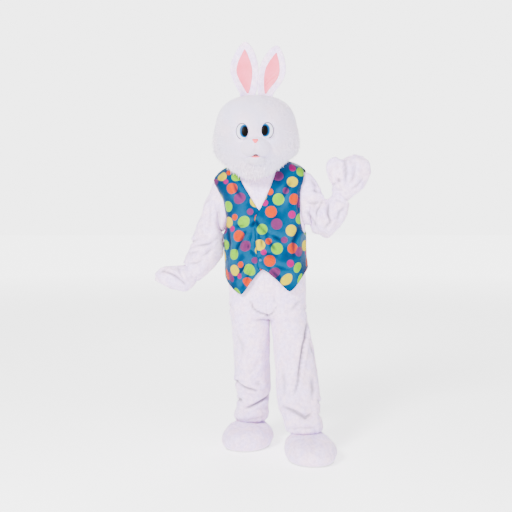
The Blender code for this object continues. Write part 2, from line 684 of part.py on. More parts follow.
def pad(name, centre, half, kind, rise, base, outline=None, edge=0.002, rings=4, spokes=18):
    """A raised piece that lies on the face: base(x, height) is the y of what it lies on."""
    front, back = [], []
    for ring in range(rings + 1):
        share = math.sin(math.pi / 2 * ring / rings)
        for spoke in range(spokes if ring else 1):
            angle = 2 * math.pi * spoke / spokes
            reach = share * (outline(math.degrees(angle)) if outline else 1.0)
            x = centre[0] + half[0] * reach * math.cos(angle)
            height = centre[1] + half[1] * reach * math.sin(angle)
            under = base(x, height) - REST_GAP
            back.append((x, under, height))
            front.append((x, under - edge - rise(share, x, height), height))
    size = len(front)
    faces = [(0, 1 + (s + 1) % spokes, 1 + s)[::-1] for s in range(spokes)]
    for ring in range(rings - 1):
        for s in range(spokes):
            a, b = 1 + ring * spokes + s, 1 + ring * spokes + (s + 1) % spokes
            faces += [(a, a + spokes, b + spokes), (a, b + spokes, b)]
    faces += [tuple(i + size for i in face[::-1]) for face in faces]
    for s in range(spokes):
        a, b = size - spokes + s, size - spokes + (s + 1) % spokes
        faces += [(a, a + size, b + size), (a, b + size, b)]
    return add_object(name, to_row(front + back), faces, kind)


def muzzle_outline(angle):
    """Two cheeks with a notch for the mouth below."""
    off = (angle - 270) / 24
    return 1 - 0.36 * math.exp(-off * off)


def muzzle_rise(share, x, height):
    groove = math.exp(-((x - MUZZLE_CENTRE[0]) / 0.011) ** 2)
    return MUZZLE_RISE * max(1 - share * share, 0.0) ** 0.5 * (1 - 0.22 * groove)


def muzzle_depth(x, height):
    """The y of the muzzle's front, for what lies on it."""
    across, up = (x - MUZZLE_CENTRE[0]) / MUZZLE_HALF[0], (height - MUZZLE_CENTRE[1]) / MUZZLE_HALF[1]
    share = min(math.hypot(across, up), 1.0)
    return face_depth(x, height) - 2 * REST_GAP - 0.002 - muzzle_rise(share, x, height)


def nose_outline(angle):
    """A rounded triangle that points down."""
    return 0.86 + 0.14 * math.cos(math.radians(3 * (angle + 90)))


def eye_outline(side):
    tilt = 20 if side == "left" else 160
    return lambda angle: 0.93 + 0.07 * math.cos(math.radians(2 * (angle - tilt)))


def face():
    pad("muzzle", MUZZLE_CENTRE, MUZZLE_HALF, WHITE_PLUSH, muzzle_rise, face_depth, muzzle_outline,
        rings=6, spokes=24)
    pad("jaw", JAW_CENTRE, JAW_HALF, WHITE_PLUSH, dome(JAW_RISE), face_depth, rings=3, spokes=14)
    pad("mouth", MOUTH_AT, MOUTH_HALF, PINK_FELT, dome(MOUTH_RISE), face_depth, rings=2, spokes=12)
    pad("nose", NOSE_AT, NOSE_HALF, PINK_FELT, dome(NOSE_RISE), muzzle_depth, nose_outline,
        rings=3, spokes=15)
    for side, centre in EYES.items():
        pad(f"eye_{side}", centre, EYE_HALF, EYE_PLASTIC, dome(EYE_RISE), face_depth, eye_outline(side),
            rings=3, spokes=18)


def ear_frame(side, at, across):
    """A point of the ear's mid surface; across runs from -1 to 1."""
    row = EARS[side].read(at)
    lean = EAR_LEAN[side] * smooth_step(0.0, 0.3, at)
    reach = across * row["half"]
    return np.array((row["x"] + reach * math.cos(lean), EAR_Y - row["cup"] * across * across,
                     row["height"] - reach * math.sin(lean)))


def ear_sheet(side, rows, across_limit, lift):
    """Points of the ear's mid surface moved out along its normal by lift(at, across)."""
    grid = []
    for at in rows:
        line = []
        for across in np.linspace(-across_limit, across_limit, EAR_COLUMNS):
            step = 0.01
            along = ear_frame(side, min(at + step, 1), across) - ear_frame(side, max(at - step, 0), across)
            over = ear_frame(side, at, across + step) - ear_frame(side, at, across - step)
            normal = np.cross(over, along)
            normal /= np.linalg.norm(normal)
            line.append(ear_frame(side, at, across) + normal * lift(at, across))
        grid.append(line)
    return np.array(grid)


def ear_half_thickness(at, across):
    return EAR_THICK / 2 * (0.2 + 0.8 * math.sqrt(max(1 - across * across, 0))) * (1 - 0.6 * at ** 6)


def ears():
    for side in SIDES:
        rows = np.sin(np.linspace(0, math.pi / 2, EAR_ROWS))
        front = ear_sheet(side, rows, 1.0, ear_half_thickness)
        back = ear_sheet(side, rows, 1.0, lambda at, across: -ear_half_thickness(at, across))
        for sheet in (front, back):
            for point in sheet[0]:
                point[2] = crown_height(point[0], point[1]) + REST_GAP
        add_wall(f"ear_{side}", to_row(front), to_row(back), WHITE_PLUSH, False)
        rows = np.linspace(*LINING_REACH, EAR_ROWS - 2)
        under, over = [], []
        for at in rows:
            share = (at - LINING_REACH[0]) / (LINING_REACH[1] - LINING_REACH[0])
            limit = LINING_SHARE * (0.12 + 0.88 * math.sin(math.pi * min(share * 1.05, 1)) ** 0.6)
            low = ear_sheet(side, [at], limit, lambda a, c: ear_half_thickness(a, c) + LINING_GAP)
            high = ear_sheet(side, [at], limit,
                             lambda a, c: ear_half_thickness(a, c) + LINING_GAP + LINING_THICK)
            under.append(low[0])
            over.append(high[0])
        add_wall(f"ear_lining_{side}", to_row(over), to_row(under), PINK_SATIN, False)


# ---------------------------------------------------------------- shoe covers
def ankle_point(side, turn, back, height):
    """The shoe's collar, just inside the coverall's gathered ankle."""
    row = LEGS[side].read(ANKLE_HEIGHT)
    ease = ANKLE_EASE
    angle = math.radians(turn)
    aside = -math.cos(angle) * (row["wide"] - ease) * SIDES[side]
    ahead = math.sin(angle) ** 0.87 * (row["deep"] - ease) if turn < 179.9 else 0.0
    return np.array((row["x"] + aside, row["y"] + (ahead if back else -ahead), height))


def shoe_point(side, turn, back, height, spread, blend):
    shoe = SHOES[side]
    angle = math.radians(turn)
    aside = -math.cos(angle) * SIDES[side] * SHOE_HALF_WIDE * spread
    ahead = math.sin(angle) ** 0.9 * SHOE_HALF_LONG * spread if turn < 179.9 else 0.0
    x, y = turned(shoe["x"], shoe["y"], aside, -ahead if back else ahead, shoe["turn"])
    return np.array((x, y, height)) * (1 - blend) + ankle_point(side, turn, back, height) * blend


def round_turns(columns):
    """Turns right round: over the front from the inner side, and back behind."""
    front = [(180 * q, False) for q in np.linspace(0, 1, columns)]
    return front + [(turn, True) for turn, _ in front[-2:0:-1]]


def shoe_covers():
    for side in SIDES:
        grid = []
        for height, spread, blend in SHOE_ROWS:
            grid.append([shoe_point(side, turn, back, height, spread, blend)
                         for turn, back in round_turns(COLUMNS)])
        skin = Skin()
        skin.add(f"shoe_upper_{side}", to_row(grid), WHITE_PLUSH, SHOE_WALL, closed=True,
                 flip=side == "right", gaps="")
        skin.build()
        sole(side)


def sole(side):
    outline = [shoe_point(side, turn, back, 0.0, SOLE_SPREAD, 0.0) for turn, back in round_turns(COLUMNS)]
    outline = to_row(outline if side == "left" else outline[::-1])
    count = len(outline)
    lift = np.array((0, 0, SOLE_THICK))
    points = list(outline) + list(outline + lift) + [outline.mean(axis=0), outline.mean(axis=0) + lift]
    faces = []
    for i in range(count):
        j = (i + 1) % count
        faces += [(i, j, j + count), (i, j + count, i + count), (j, i, 2 * count),
                  (i + count, j + count, 2 * count + 1)]
    add_object(f"shoe_sole_{side}", points, faces, SOLE_VINYL)


def vest_button():
    """A small flat button on the upper front, square to the cloth."""
    turn = BUTTON_TURN
    middle = np.array(vest_point(turn, BUTTON_HEIGHT, LAP_RISE))
    aside = np.array(vest_point(turn + 1, BUTTON_HEIGHT, LAP_RISE)) - middle
    up = np.array(vest_point(turn, BUTTON_HEIGHT + 0.01, LAP_RISE)) - middle
    aside /= np.linalg.norm(aside)
    out = np.cross(aside, up)
    out /= np.linalg.norm(out)
    up = np.cross(out, aside)
    points, faces, count = [], [], 16
    for depth in (REST_GAP, REST_GAP + BUTTON_THICK):
        for i in range(count):
            angle = 2 * math.pi * i / count
            points.append(middle + out * depth
                          + BUTTON_RADIUS * (aside * math.cos(angle) + up * math.sin(angle)))
    points += [middle + out * REST_GAP, middle + out * (REST_GAP + BUTTON_THICK)]
    for i in range(count):
        j = (i + 1) % count
        faces += [(i, j, j + count), (i, j + count, i + count), (j, i, 2 * count),
                  (i + count, j + count, 2 * count + 1)]
    add_object("vest_button", to_row(points), faces, BLUE_PLASTIC)


def clear_scene():
    for thing in list(bpy.data.objects):
        bpy.data.objects.remove(thing)


def main():
    clear_scene()
    coverall()
    vest()
    vest_button()
    mitts()
    head()
    face()
    ears()
    shoe_covers()


main()
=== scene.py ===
"""The looks of a rabbit mascot costume: furry head, plush coverall, dotted vest, mitts and shoe covers."""
import math

import bpy
import numpy as np
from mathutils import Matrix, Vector, noise


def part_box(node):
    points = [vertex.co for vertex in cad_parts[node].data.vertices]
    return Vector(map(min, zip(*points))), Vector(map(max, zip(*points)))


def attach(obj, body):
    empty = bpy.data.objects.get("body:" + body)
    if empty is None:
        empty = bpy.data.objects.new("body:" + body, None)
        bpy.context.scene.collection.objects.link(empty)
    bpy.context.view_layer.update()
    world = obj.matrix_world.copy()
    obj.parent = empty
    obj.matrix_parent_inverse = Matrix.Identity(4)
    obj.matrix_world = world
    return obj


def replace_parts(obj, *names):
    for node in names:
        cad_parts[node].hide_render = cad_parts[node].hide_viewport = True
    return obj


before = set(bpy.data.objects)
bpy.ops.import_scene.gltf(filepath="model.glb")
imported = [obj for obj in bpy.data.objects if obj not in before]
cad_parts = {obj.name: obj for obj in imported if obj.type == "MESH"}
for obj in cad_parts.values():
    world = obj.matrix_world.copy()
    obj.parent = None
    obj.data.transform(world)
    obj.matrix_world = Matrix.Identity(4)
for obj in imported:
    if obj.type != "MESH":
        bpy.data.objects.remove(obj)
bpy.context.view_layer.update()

rng = np.random.default_rng(7)

# ---------------------------------------------------------------- driving sizes
ORIGIN_HEIGHT = 1.500        # the origin above the floor
SEAM_GAP = 0.0003            # between two pieces sewn along one seam
SQUARENESS = 2.3             # 2 is an ellipse, more is boxier
PLUSH_THICK, MITT_THICK, SHOE_THICK, SATIN_THICK, FOAM_THICK = 0.0036, 0.0032, 0.0045, 0.0016, 0.0060
BODY_FOLDS, SLEEVE_FOLDS, VEST_FOLDS, MITT_FOLDS = 1.5, 1.45, 1.8, 1.5    # creases against their tables
TUFTS, QUICK_TUFTS = 38000, 9000


class Table:
    """Named columns against the first one, read in between as a smooth curve."""

    def __init__(self, columns, *rows):
        self.columns = columns.split()
        self.rows = np.array(sorted(rows), float)

    def read(self, at):
        keys, values = self.rows[:, 0], self.rows[:, 1:]
        at = min(max(at, keys[0]), keys[-1])
        k = min(int(np.searchsorted(keys, at, side="right")) - 1, len(keys) - 2)
        step = keys[k + 1] - keys[k]
        t = (at - keys[k]) / step
        slopes = [self.slope(k), self.slope(k + 1)]
        found = (values[k] * (1 + 2 * t) * (1 - t) ** 2 + values[k + 1] * t * t * (3 - 2 * t)
                 + slopes[0] * step * t * (1 - t) ** 2 - slopes[1] * step * t * t * (1 - t))
        return dict(zip(self.columns[1:], found))

    def slope(self, k):
        keys, values = self.rows[:, 0], self.rows[:, 1:]
        low, high = max(k - 1, 0), min(k + 1, len(keys) - 1)
        return (values[high] - values[low]) / (keys[high] - keys[low])


# ---------------------------------------------------------------- the coverall's sections
# height above the floor, centre, half width, reach to the front and the back, turn of the body in degrees
TORSO = Table("height x y side front back turn",
              (0.690, 0.077, 0.000, 0.215, 0.150, 0.160, -3),
              (0.800, 0.066, 0.000, 0.214, 0.150, 0.158, -4),
              (0.900, 0.062, 0.000, 0.213, 0.148, 0.152, -6),
              (1.000, 0.056, 0.000, 0.213, 0.148, 0.146, -8),
              (1.130, 0.052, 0.000, 0.215, 0.150, 0.144, -11),
              (1.250, 0.052, 0.000, 0.221, 0.154, 0.146, -12),
              (1.360, 0.045, 0.002, 0.232, 0.152, 0.146, -12),
              (1.430, 0.038, 0.004, 0.240, 0.143, 0.138, -12),
              (1.465, 0.034, 0.006, 0.236, 0.134, 0.130, -12),
              (1.492, 0.031, 0.008, 0.222, 0.125, 0.122, -11),
              (1.520, 0.028, 0.009, 0.187, 0.114, 0.112, -9),
              (1.541, 0.024, 0.010, 0.148, 0.102, 0.101, -7),
              (1.557, 0.021, 0.010, 0.118, 0.093, 0.0895, -6),
              (1.577, 0.018, 0.010, 0.091, 0.085, 0.078, -5),
              (1.597, 0.018, 0.010, 0.083, 0.081, 0.0755, -5))
CROTCH_HEIGHT = 0.690
HIP_HEIGHT = 0.800
ARMHOLE_LOW, ARMHOLE_HIGH = 1.215, 1.475
ARMHOLE_HALF_TURN = 27       # how far the armhole reaches round from the side, in degrees
NECK_HEIGHT = 1.597
SHOULDER_LIFT = 0.030        # the raised arm lifts its shoulder
LIFT_FROM, LIFT_TO = 1.20, 1.46

# height, centre, half width, half depth of each leg; the last row is the gathered ankle
LEGS = {
    "right": Table("height x y wide deep",
                   (0.138, -0.026, 0.046, 0.071, 0.074), (0.150, -0.027, 0.046, 0.090, 0.098),
                   (0.172, -0.025, 0.044, 0.097, 0.106), (0.200, -0.022, 0.042, 0.090, 0.100),
                   (0.257, -0.017, 0.038, 0.087, 0.098), (0.310, -0.016, 0.034, 0.096, 0.104),
                   (0.360, -0.020, 0.030, 0.097, 0.106), (0.440, -0.018, 0.024, 0.096, 0.112),
                   (0.526, -0.017, 0.018, 0.098, 0.122), (0.610, -0.024, 0.014, 0.102, 0.134),
                   (0.690, -0.030, 0.010, 0.107, 0.150)),
    "left": Table("height x y wide deep",
                  (0.138, 0.258, -0.222, 0.071, 0.074), (0.150, 0.257, -0.222, 0.090, 0.098),
                  (0.172, 0.252, -0.218, 0.100, 0.106), (0.210, 0.240, -0.206, 0.104, 0.106),
                  (0.250, 0.233, -0.190, 0.112, 0.110), (0.300, 0.228, -0.170, 0.116, 0.114),
                  (0.400, 0.217, -0.130, 0.112, 0.116), (0.526, 0.202, -0.084, 0.106, 0.124),
                  (0.610, 0.194, -0.048, 0.105, 0.134), (0.690, 0.184, -0.010, 0.107, 0.150)),
}
ANKLE_HEIGHT = 0.138
SIDES = {"left": 1, "right": -1}

# sleeve rings: upper edge x and height, lower edge x and height, centre and half depth
SLEEVES = {
    "right": Table("ring top_x top_h low_x low_h y deep",
                   (1, -0.240, 1.440, -0.205, 1.222, 0.046, 0.064),
                   (2, -0.268, 1.368, -0.202, 1.198, 0.045, 0.070),
                   (3, -0.297, 1.285, -0.190, 1.160, 0.042, 0.080),
                   (4, -0.325, 1.210, -0.180, 1.122, 0.030, 0.084),
                   (5, -0.350, 1.140, -0.177, 1.078, 0.016, 0.086),
                   (6, -0.368, 1.090, -0.190, 1.032, 0.004, 0.082),
                   (7, -0.380, 1.050, -0.226, 0.982, -0.010, 0.074),
                   (8, -0.388, 1.020, -0.276, 0.938, -0.026, 0.064),
                   (9, -0.388, 1.006, -0.318, 0.908, -0.036, 0.058)),
    "left": Table("ring top_x top_h low_x low_h y deep",
                  (1, 0.292, 1.488, 0.292, 1.240, -0.050, 0.064),
                  (2, 0.316, 1.462, 0.300, 1.218, -0.052, 0.070),
                  (3, 0.338, 1.426, 0.310, 1.182, -0.058, 0.082),
                  (4, 0.356, 1.394, 0.343, 1.158, -0.066, 0.084),
                  (5, 0.364, 1.360, 0.394, 1.146, -0.078, 0.086),
                  (6, 0.384, 1.352, 0.438, 1.188, -0.092, 0.080),
                  (7, 0.402, 1.364, 0.468, 1.230, -0.106, 0.072),
                  (8, 0.408, 1.386, 0.490, 1.294, -0.118, 0.064),
                  (9, 0.404, 1.412, 0.494, 1.336, -0.126, 0.058)),
}

# mitt outlines from the wrist (0) to the tip (1): the thumb edge, the little-finger edge, half depth
MITTS = {
    "left": dict(
        outline=Table("at edge_x edge_h far_x far_h deep",
                      (0.00, 0.4045, 1.429, 0.499, 1.353, 0.050), (0.15, 0.396, 1.447, 0.522, 1.373, 0.056),
                      (0.35, 0.380, 1.482, 0.570, 1.410, 0.058), (0.55, 0.372, 1.520, 0.602, 1.462, 0.054),
                      (0.75, 0.380, 1.552, 0.610, 1.514, 0.044), (0.90, 0.392, 1.568, 0.598, 1.552, 0.030),
                      (1.00, 0.404, 1.574, 0.568, 1.580, 0.000)),
        crown=((0.0, 0.0), (0.12, 0.004), (0.30, -0.012), (0.50, 0.002), (0.72, 0.012), (1.0, 0.0)),
        y=-0.128, lean=-0.10),
    "right": dict(
        outline=Table("at edge_x edge_h far_x far_h deep",
                      (0.00, -0.394, 0.998, -0.326, 0.900, 0.050),
                      (0.15, -0.414, 0.994, -0.356, 0.866, 0.056),
                      (0.35, -0.444, 0.990, -0.392, 0.850, 0.058),
                      (0.55, -0.480, 0.990, -0.436, 0.860, 0.056),
                      (0.75, -0.516, 0.978, -0.486, 0.878, 0.048),
                      (0.90, -0.538, 0.962, -0.522, 0.898, 0.034),
                      (1.00, -0.549, 0.950, -0.547, 0.914, 0.000)),
        crown=((0.0, 0.0), (0.5, 0.008), (1.0, 0.0)),
        y=-0.040, lean=-0.16),
}

CUFF_RINGS = (8.55, 9.0)      # where the mitt's cuff lies inside the sleeve
CUFF_ROWS = 5
CUFF_FIT = (0.86, 0.90, 0.86)    # its size as a share of the sleeve's end

# the vest stands off the coverall by these eases
VEST = Table("height side front",
             (0.840, 0.018, 0.024), (0.950, 0.014, 0.016), (1.050, 0.010, 0.010), (1.200, 0.010, 0.007),
             (1.300, 0.022, 0.006), (1.400, 0.018, 0.005), (1.470, 0.010, 0.004), (1.500, 0.0065, 0.0026),
             (1.580, 0.0035, 0.0024))
VEST_ARMHOLE_LOW, VEST_ARMHOLE_HIGH = 1.170, 1.488
VEST_ARMHOLE_HALF_TURN = 33
VEST_WAIST = 1.010           # the rows below it run to the pointed hem
VEST_TOP = 1.561
VEST_V = Table("height aside", (1.290, 0.000), (1.380, 0.046), (1.457, 0.085), (1.500, 0.098),
               (1.535, 0.101), (1.561, 0.097))
VEST_SIDE_HEM = {"left": 0.985, "right": 0.962}
VEST_FRONT_HEM = {           # turn from the centre front in degrees, height of the hem
    "left": Table("turn height", (-8, 0.985), (0, 0.982), (12, 0.935), (28, 0.868), (34, 0.866),
                  (60, 0.940), (90, VEST_SIDE_HEM["left"])),
    "right": Table("turn height", (-6, 0.990), (0, 0.980), (12, 0.925), (28, 0.850), (34, 0.847),
                   (60, 0.905), (90, VEST_SIDE_HEM["right"])),
}
VEST_LAP = {"left": 4.2, "right": 6}      # turn past the centre front
LAP_RISE = 0.0036            # the upper front over the lower one
BUTTON_RADIUS, BUTTON_THICK, BUTTON_HOLE = 0.0075, 0.003, 0.0015

# ---------------------------------------------------------------- head
HEAD_X, HEAD_Y, HEAD_TURN = 0.001, -0.045, -3
HEAD = Table("height side front back",
             (1.430, 0.088, 0.150, 0.090), (1.470, 0.130, 0.178, 0.115), (1.500, 0.160, 0.189, 0.130),
             (1.530, 0.184, 0.197, 0.142), (1.560, 0.203, 0.203, 0.152), (1.600, 0.221, 0.209, 0.163),
             (1.650, 0.231, 0.212, 0.174), (1.700, 0.230, 0.209, 0.181), (1.750, 0.221, 0.201, 0.182),
             (1.800, 0.209, 0.189, 0.175), (1.840, 0.189, 0.169, 0.161), (1.870, 0.161, 0.145, 0.140),
             (1.893, 0.122, 0.112, 0.110), (1.907, 0.076, 0.071, 0.070), (1.914, 0.030, 0.028, 0.028),
             (1.916, 0.001, 0.001, 0.001))
HEAD_RIM = Table("turn height", (-180, 1.5622), (-140, 1.566), (-100, 1.585), (-80, 1.576), (-60, 1.530),
                 (-35, 1.470), (0, 1.448), (35, 1.476), (60, 1.546), (80, 1.590), (100, 1.600),
                 (140, 1.574), (180, 1.5622))
EYES = {"left": (0.0600, 1.7100), "right": (-0.0725, 1.7060)}
EYE_HALF, EYE_RISE = (0.0330, 0.0440), 0.006
MUZZLE_CENTRE, MUZZLE_HALF, MUZZLE_RISE = (-0.003, 1.6215), (0.077, 0.053), 0.044
JAW_CENTRE, JAW_HALF, JAW_RISE = (-0.002, 1.556), (0.044, 0.017), 0.017
NOSE_AT, NOSE_HALF, NOSE_RISE = (-0.0035, 1.6555), (0.0172, 0.0128), 0.010
MOUTH_AT, MOUTH_HALF, MOUTH_RISE = (-0.0025, 1.5730), (0.0225, 0.0055), 0.012
# the dark oval above the tongue is painted shadow: a felt piece where the mouth lies in shade
MOUTH_SHADOW_AT, MOUTH_SHADOW_HALF = (-0.0015, 1.5830), (0.0130, 0.0060)

# ears: share of the length, centre x and height of the mid line, half width, how far the edges come forward
EARS = {
    "right": Table("at x height half cup",
                   (0.00, -0.044, 1.915, 0.040, 0.022), (0.15, -0.048, 1.950, 0.054, 0.024),
                   (0.45, -0.062, 2.036, 0.075, 0.020), (0.65, -0.064, 2.094, 0.070, 0.014),
                   (0.85, -0.061, 2.154, 0.046, 0.006), (0.95, -0.060, 2.185, 0.024, 0.002),
                   (1.00, -0.059, 2.198, 0.009, 0.000)),
    "left": Table("at x height half cup",
                  (0.00, 0.050, 1.912, 0.037, 0.022), (0.15, 0.058, 1.948, 0.049, 0.024),
                  (0.45, 0.084, 2.026, 0.070, 0.020), (0.65, 0.098, 2.080, 0.066, 0.014),
                  (0.85, 0.109, 2.136, 0.044, 0.006), (0.95, 0.114, 2.164, 0.024, 0.002),
                  (1.00, 0.116, 2.177, 0.009, 0.000)),
}
EAR_LEAN = {"right": -0.10, "left": 0.34}    # lateral lean of the ear's cross line
EAR_Y, EAR_THICK = -0.044, 0.024
LINING_REACH, LINING_SHARE = (0.04, 0.86), 0.60

# shoe covers: centre of the sole, half width, half length, toe-out turn
SHOES = {"right": dict(x=-0.045, y=-0.048, turn=-20), "left": dict(x=0.284, y=-0.328, turn=7)}
SHOE_HALF_WIDE, SHOE_HALF_LONG = 0.134, 0.178
ANKLE_EASE = 0.0028          # the shoe's collar inside the coverall's ankle
SHOE_ROWS = (                # height, share of the outline, blend into the ankle's opening
    (0.0084, 0.900, 0.00), (0.024, 0.970, 0.00), (0.048, 1.000, 0.00), (0.078, 0.970, 0.04),
    (0.100, 0.895, 0.12), (0.115, 0.775, 0.30), (0.122, 0.665, 0.62), (0.126, 0.600, 1.00),
    (0.166, 0.600, 1.00))


# ---------------------------------------------------------------- mesh helpers
def to_row(points):
    """From heights above the floor to the row's own frame."""
    moved = np.array(points, float)
    moved[..., 2] -= ORIGIN_HEIGHT
    return moved


def smooth_step(low, high, value):
    """A soft step from 0 to 1 for one number."""
    t = min(max((value - low) / (high - low), 0.0), 1.0)
    return t * t * (3 - 2 * t)


def smooth(low, high, values):
    """The same soft step for an array."""
    t = np.clip((values - low) / (high - low), 0, 1)
    return t * t * (3 - 2 * t)


def height_of(points):
    """Heights above the floor of points in the row's own frame."""
    return points[..., 2] + ORIGIN_HEIGHT


def section_point(sides, turn):
    """A point of a squarish oval: sideways and forwards shares for a turn from the front, in degrees."""
    s, c = math.sin(math.radians(turn)), math.cos(math.radians(turn))
    power = 2 / SQUARENESS
    aside = math.copysign(abs(s) ** power, s) * sides[0]
    ahead = math.copysign(abs(c) ** power, c) * (sides[1] if c > 0 else sides[2])
    return aside, ahead


def turned(x, y, aside, ahead, turn):
    """Aside is towards the wearer's left and ahead is to the front, turned about the vertical."""
    s, c = math.sin(math.radians(turn)), math.cos(math.radians(turn))
    return x + aside * c + ahead * s, y + aside * s - ahead * c


def torso_point(turn, height, ease_side=0.0, ease_front=0.0, rise=0.0):
    row = TORSO.read(height)
    sides = (row["side"] + ease_side, row["front"] + ease_front, row["back"] + ease_front)
    aside, ahead = section_point(sides, turn)
    lift = SHOULDER_LIFT * smooth_step(LIFT_FROM, LIFT_TO, height) * smooth_step(0.02, 0.24, aside)
    x, y = turned(row["x"], row["y"], aside, ahead, row["turn"])
    return x, y, height + lift + rise


def rounded_steps(low, high, count):
    """Steps that crowd towards both ends, as a round hole needs."""
    middle, half = (low + high) / 2, (high - low) / 2
    return [middle - half * math.cos(math.pi * i / (count - 1)) for i in range(count)]


def armhole_turn(height, low, high, half_turn):
    """The turn at which a front panel's side edge lies."""
    share = (height - (low + high) / 2) / ((high - low) / 2)
    return 90 - half_turn * math.sqrt(max(1 - share * share, 0.0)) if abs(share) < 1 else 90.0


# ---------------------------------------------------------------- sections at the cloth's own fineness
LEG_ROWS, CROTCH_ROWS, HIP_ROWS, ARMHOLE_ROWS = 110, 14, 50, 37
LEG_ROUNDNESS, SHOE_ROUNDNESS = 0.87, 0.90      # 1 is a plain oval, less is boxier
PANEL_COLUMNS = [0, .006, .016, .03] + list(np.linspace(.05, .95, 35)) + [.97, .984, .994, 1]


def half_oval(turn, power):
    """Shares of the half width and half depth for a turn from the inner seam (0) to the outer one (180)."""
    angle = math.radians(turn)
    return -math.cos(angle), math.sin(angle) ** power if turn < 179.9 else 0.0


def leg_point(side, turn, height, back, ease=0.0):
    """A point of a leg's section, or of one that lies inside it by the ease."""
    row = LEGS[side].read(height)
    away, ahead = half_oval(turn, LEG_ROUNDNESS)
    away, ahead = away * (row["wide"] - ease) * SIDES[side], ahead * (row["deep"] - ease)
    return row["x"] + away, row["y"] + (ahead if back else -ahead), height


def crotch_row(side, back, share):
    """Rows between the legs and the torso: the centre seam curves under from front to back."""
    rise = math.sin(share * math.pi / 2)
    up = 1 - math.cos(share * math.pi / 2)
    height = CROTCH_HEIGHT + (HIP_HEIGHT - CROTCH_HEIGHT) * up
    saddle = rise * rise * (3 - 2 * rise) if share < 1 else 1.0
    row = []
    for q in PANEL_COLUMNS:
        leg = np.array(leg_point(side, 180 * q, CROTCH_HEIGHT, back))
        turn = SIDES[side] * (180 - 90 * q if back else 90 * q)
        torso = np.array(torso_point(turn, HIP_HEIGHT))
        outer = smooth_step(0.03, 0.22, q)
        blend = saddle * (1 - outer + outer * up / (up + 0.12) * 1.12)
        point = leg * (1 - blend) + torso * blend
        point[2] = height
        row.append(point)
    return row


def torso_heights():
    rows = list(np.linspace(HIP_HEIGHT, ARMHOLE_LOW, HIP_ROWS))
    rows += rounded_steps(ARMHOLE_LOW, ARMHOLE_HIGH, ARMHOLE_ROWS)[1:]
    return rows + list(np.linspace(ARMHOLE_HIGH, NECK_HEIGHT, 18))[1:]


def body_panel(side, back):
    """Half of the coverall's front or back: a leg half below, a quarter of the torso above."""
    sign = SIDES[side]
    grid = []
    for share in np.linspace(0, 1, LEG_ROWS) ** 1.3:
        height = ANKLE_HEIGHT + (CROTCH_HEIGHT - ANKLE_HEIGHT) * share
        grid.append([leg_point(side, 180 * q, height, back) for q in PANEL_COLUMNS])
    for share in np.linspace(0, 1, CROTCH_ROWS)[1:-1]:
        grid.append(crotch_row(side, back, share))
    for height in torso_heights():
        edge = armhole_turn(height, ARMHOLE_LOW, ARMHOLE_HIGH, ARMHOLE_HALF_TURN)
        turns = [sign * (180 - edge * q if back else edge * q) for q in PANEL_COLUMNS]
        grid.append([torso_point(turn, height) for turn in turns])
    return to_row(grid)


def armhole_ring(side):
    """The armhole from its lowest point up the front and down the back."""
    sign = SIDES[side]
    heights = rounded_steps(ARMHOLE_LOW, ARMHOLE_HIGH, ARMHOLE_ROWS)
    ring = []
    for height in heights:
        edge = armhole_turn(height, ARMHOLE_LOW, ARMHOLE_HIGH, ARMHOLE_HALF_TURN)
        ring.append(torso_point(sign * edge, height))
    for height in heights[-2:0:-1]:
        edge = armhole_turn(height, ARMHOLE_LOW, ARMHOLE_HIGH, ARMHOLE_HALF_TURN)
        ring.append(torso_point(sign * (180 - edge), height))
    return np.array(ring)


def sleeve_ring(side, ring, count):
    """A sleeve's section, starting at its lower edge and going over the front to the upper edge."""
    row = SLEEVES[side].read(ring)
    points = []
    for i in range(count):
        angle = 2 * math.pi * i / count
        up, ahead = (1 - math.cos(angle)) / 2, math.sin(angle)
        points.append((row["low_x"] + (row["top_x"] - row["low_x"]) * up, row["y"] - ahead * row["deep"],
                       row["low_h"] + (row["top_h"] - row["low_h"]) * up))
    return np.array(points)


def sleeve_grid(side):
    root = armhole_ring(side)
    first = sleeve_ring(side, 1, len(root))
    grid = [root * (1 - t) + first * t for t in (0, .12, .3, .5, .75)]
    for ring in np.linspace(1, 9, 96):
        grid.append(sleeve_ring(side, ring, len(root)))
    return to_row(grid)


# ---------------------------------------------------------------- cloth
def quads(shape, closed):
    """The faces of a grid of points, joined right round where it is closed."""
    rows, columns = shape
    made = []
    for r in range(rows - 1):
        for c in range(columns if closed else columns - 1):
            a, b = r * columns + c, r * columns + (c + 1) % columns
            made.append((a, b, b + columns, a + columns))
    return np.array(made)


def shared_normals(panels):
    """Normals of panels that are sewn together, the same on both sides of each seam."""
    points, sums = [], []
    for grid, closed in panels:
        flat = grid.reshape(-1, 3)
        faces = quads(grid.shape[:2], closed)
        cross = np.cross(flat[faces[:, 2]] - flat[faces[:, 0]], flat[faces[:, 3]] - flat[faces[:, 1]])
        total = np.zeros_like(flat)
        for k in range(4):
            np.add.at(total, faces[:, k], cross)
        points.append(flat)
        sums.append(total)
    every, total = np.vstack(points), np.vstack(sums)
    keys = np.unique(np.round(every / 2e-5).astype(np.int64), axis=0, return_inverse=True)[1].reshape(-1)
    merged = np.zeros((keys.max() + 1, 3))
    np.add.at(merged, keys, total)
    shared = merged[keys]
    shared /= np.maximum(np.linalg.norm(shared, axis=1, keepdims=True), 1e-12)
    found, start = [], 0
    for grid, _ in panels:
        size = grid.shape[0] * grid.shape[1]
        found.append(shared[start:start + size].reshape(grid.shape))
        start += size
    return found


# for each facing: the axis that runs across it, the axis it faces along, and which way it faces
FACINGS = {"front": (0, 1, -1), "back": (0, 1, 1), "left": (1, 0, 1), "right": (1, 0, -1)}


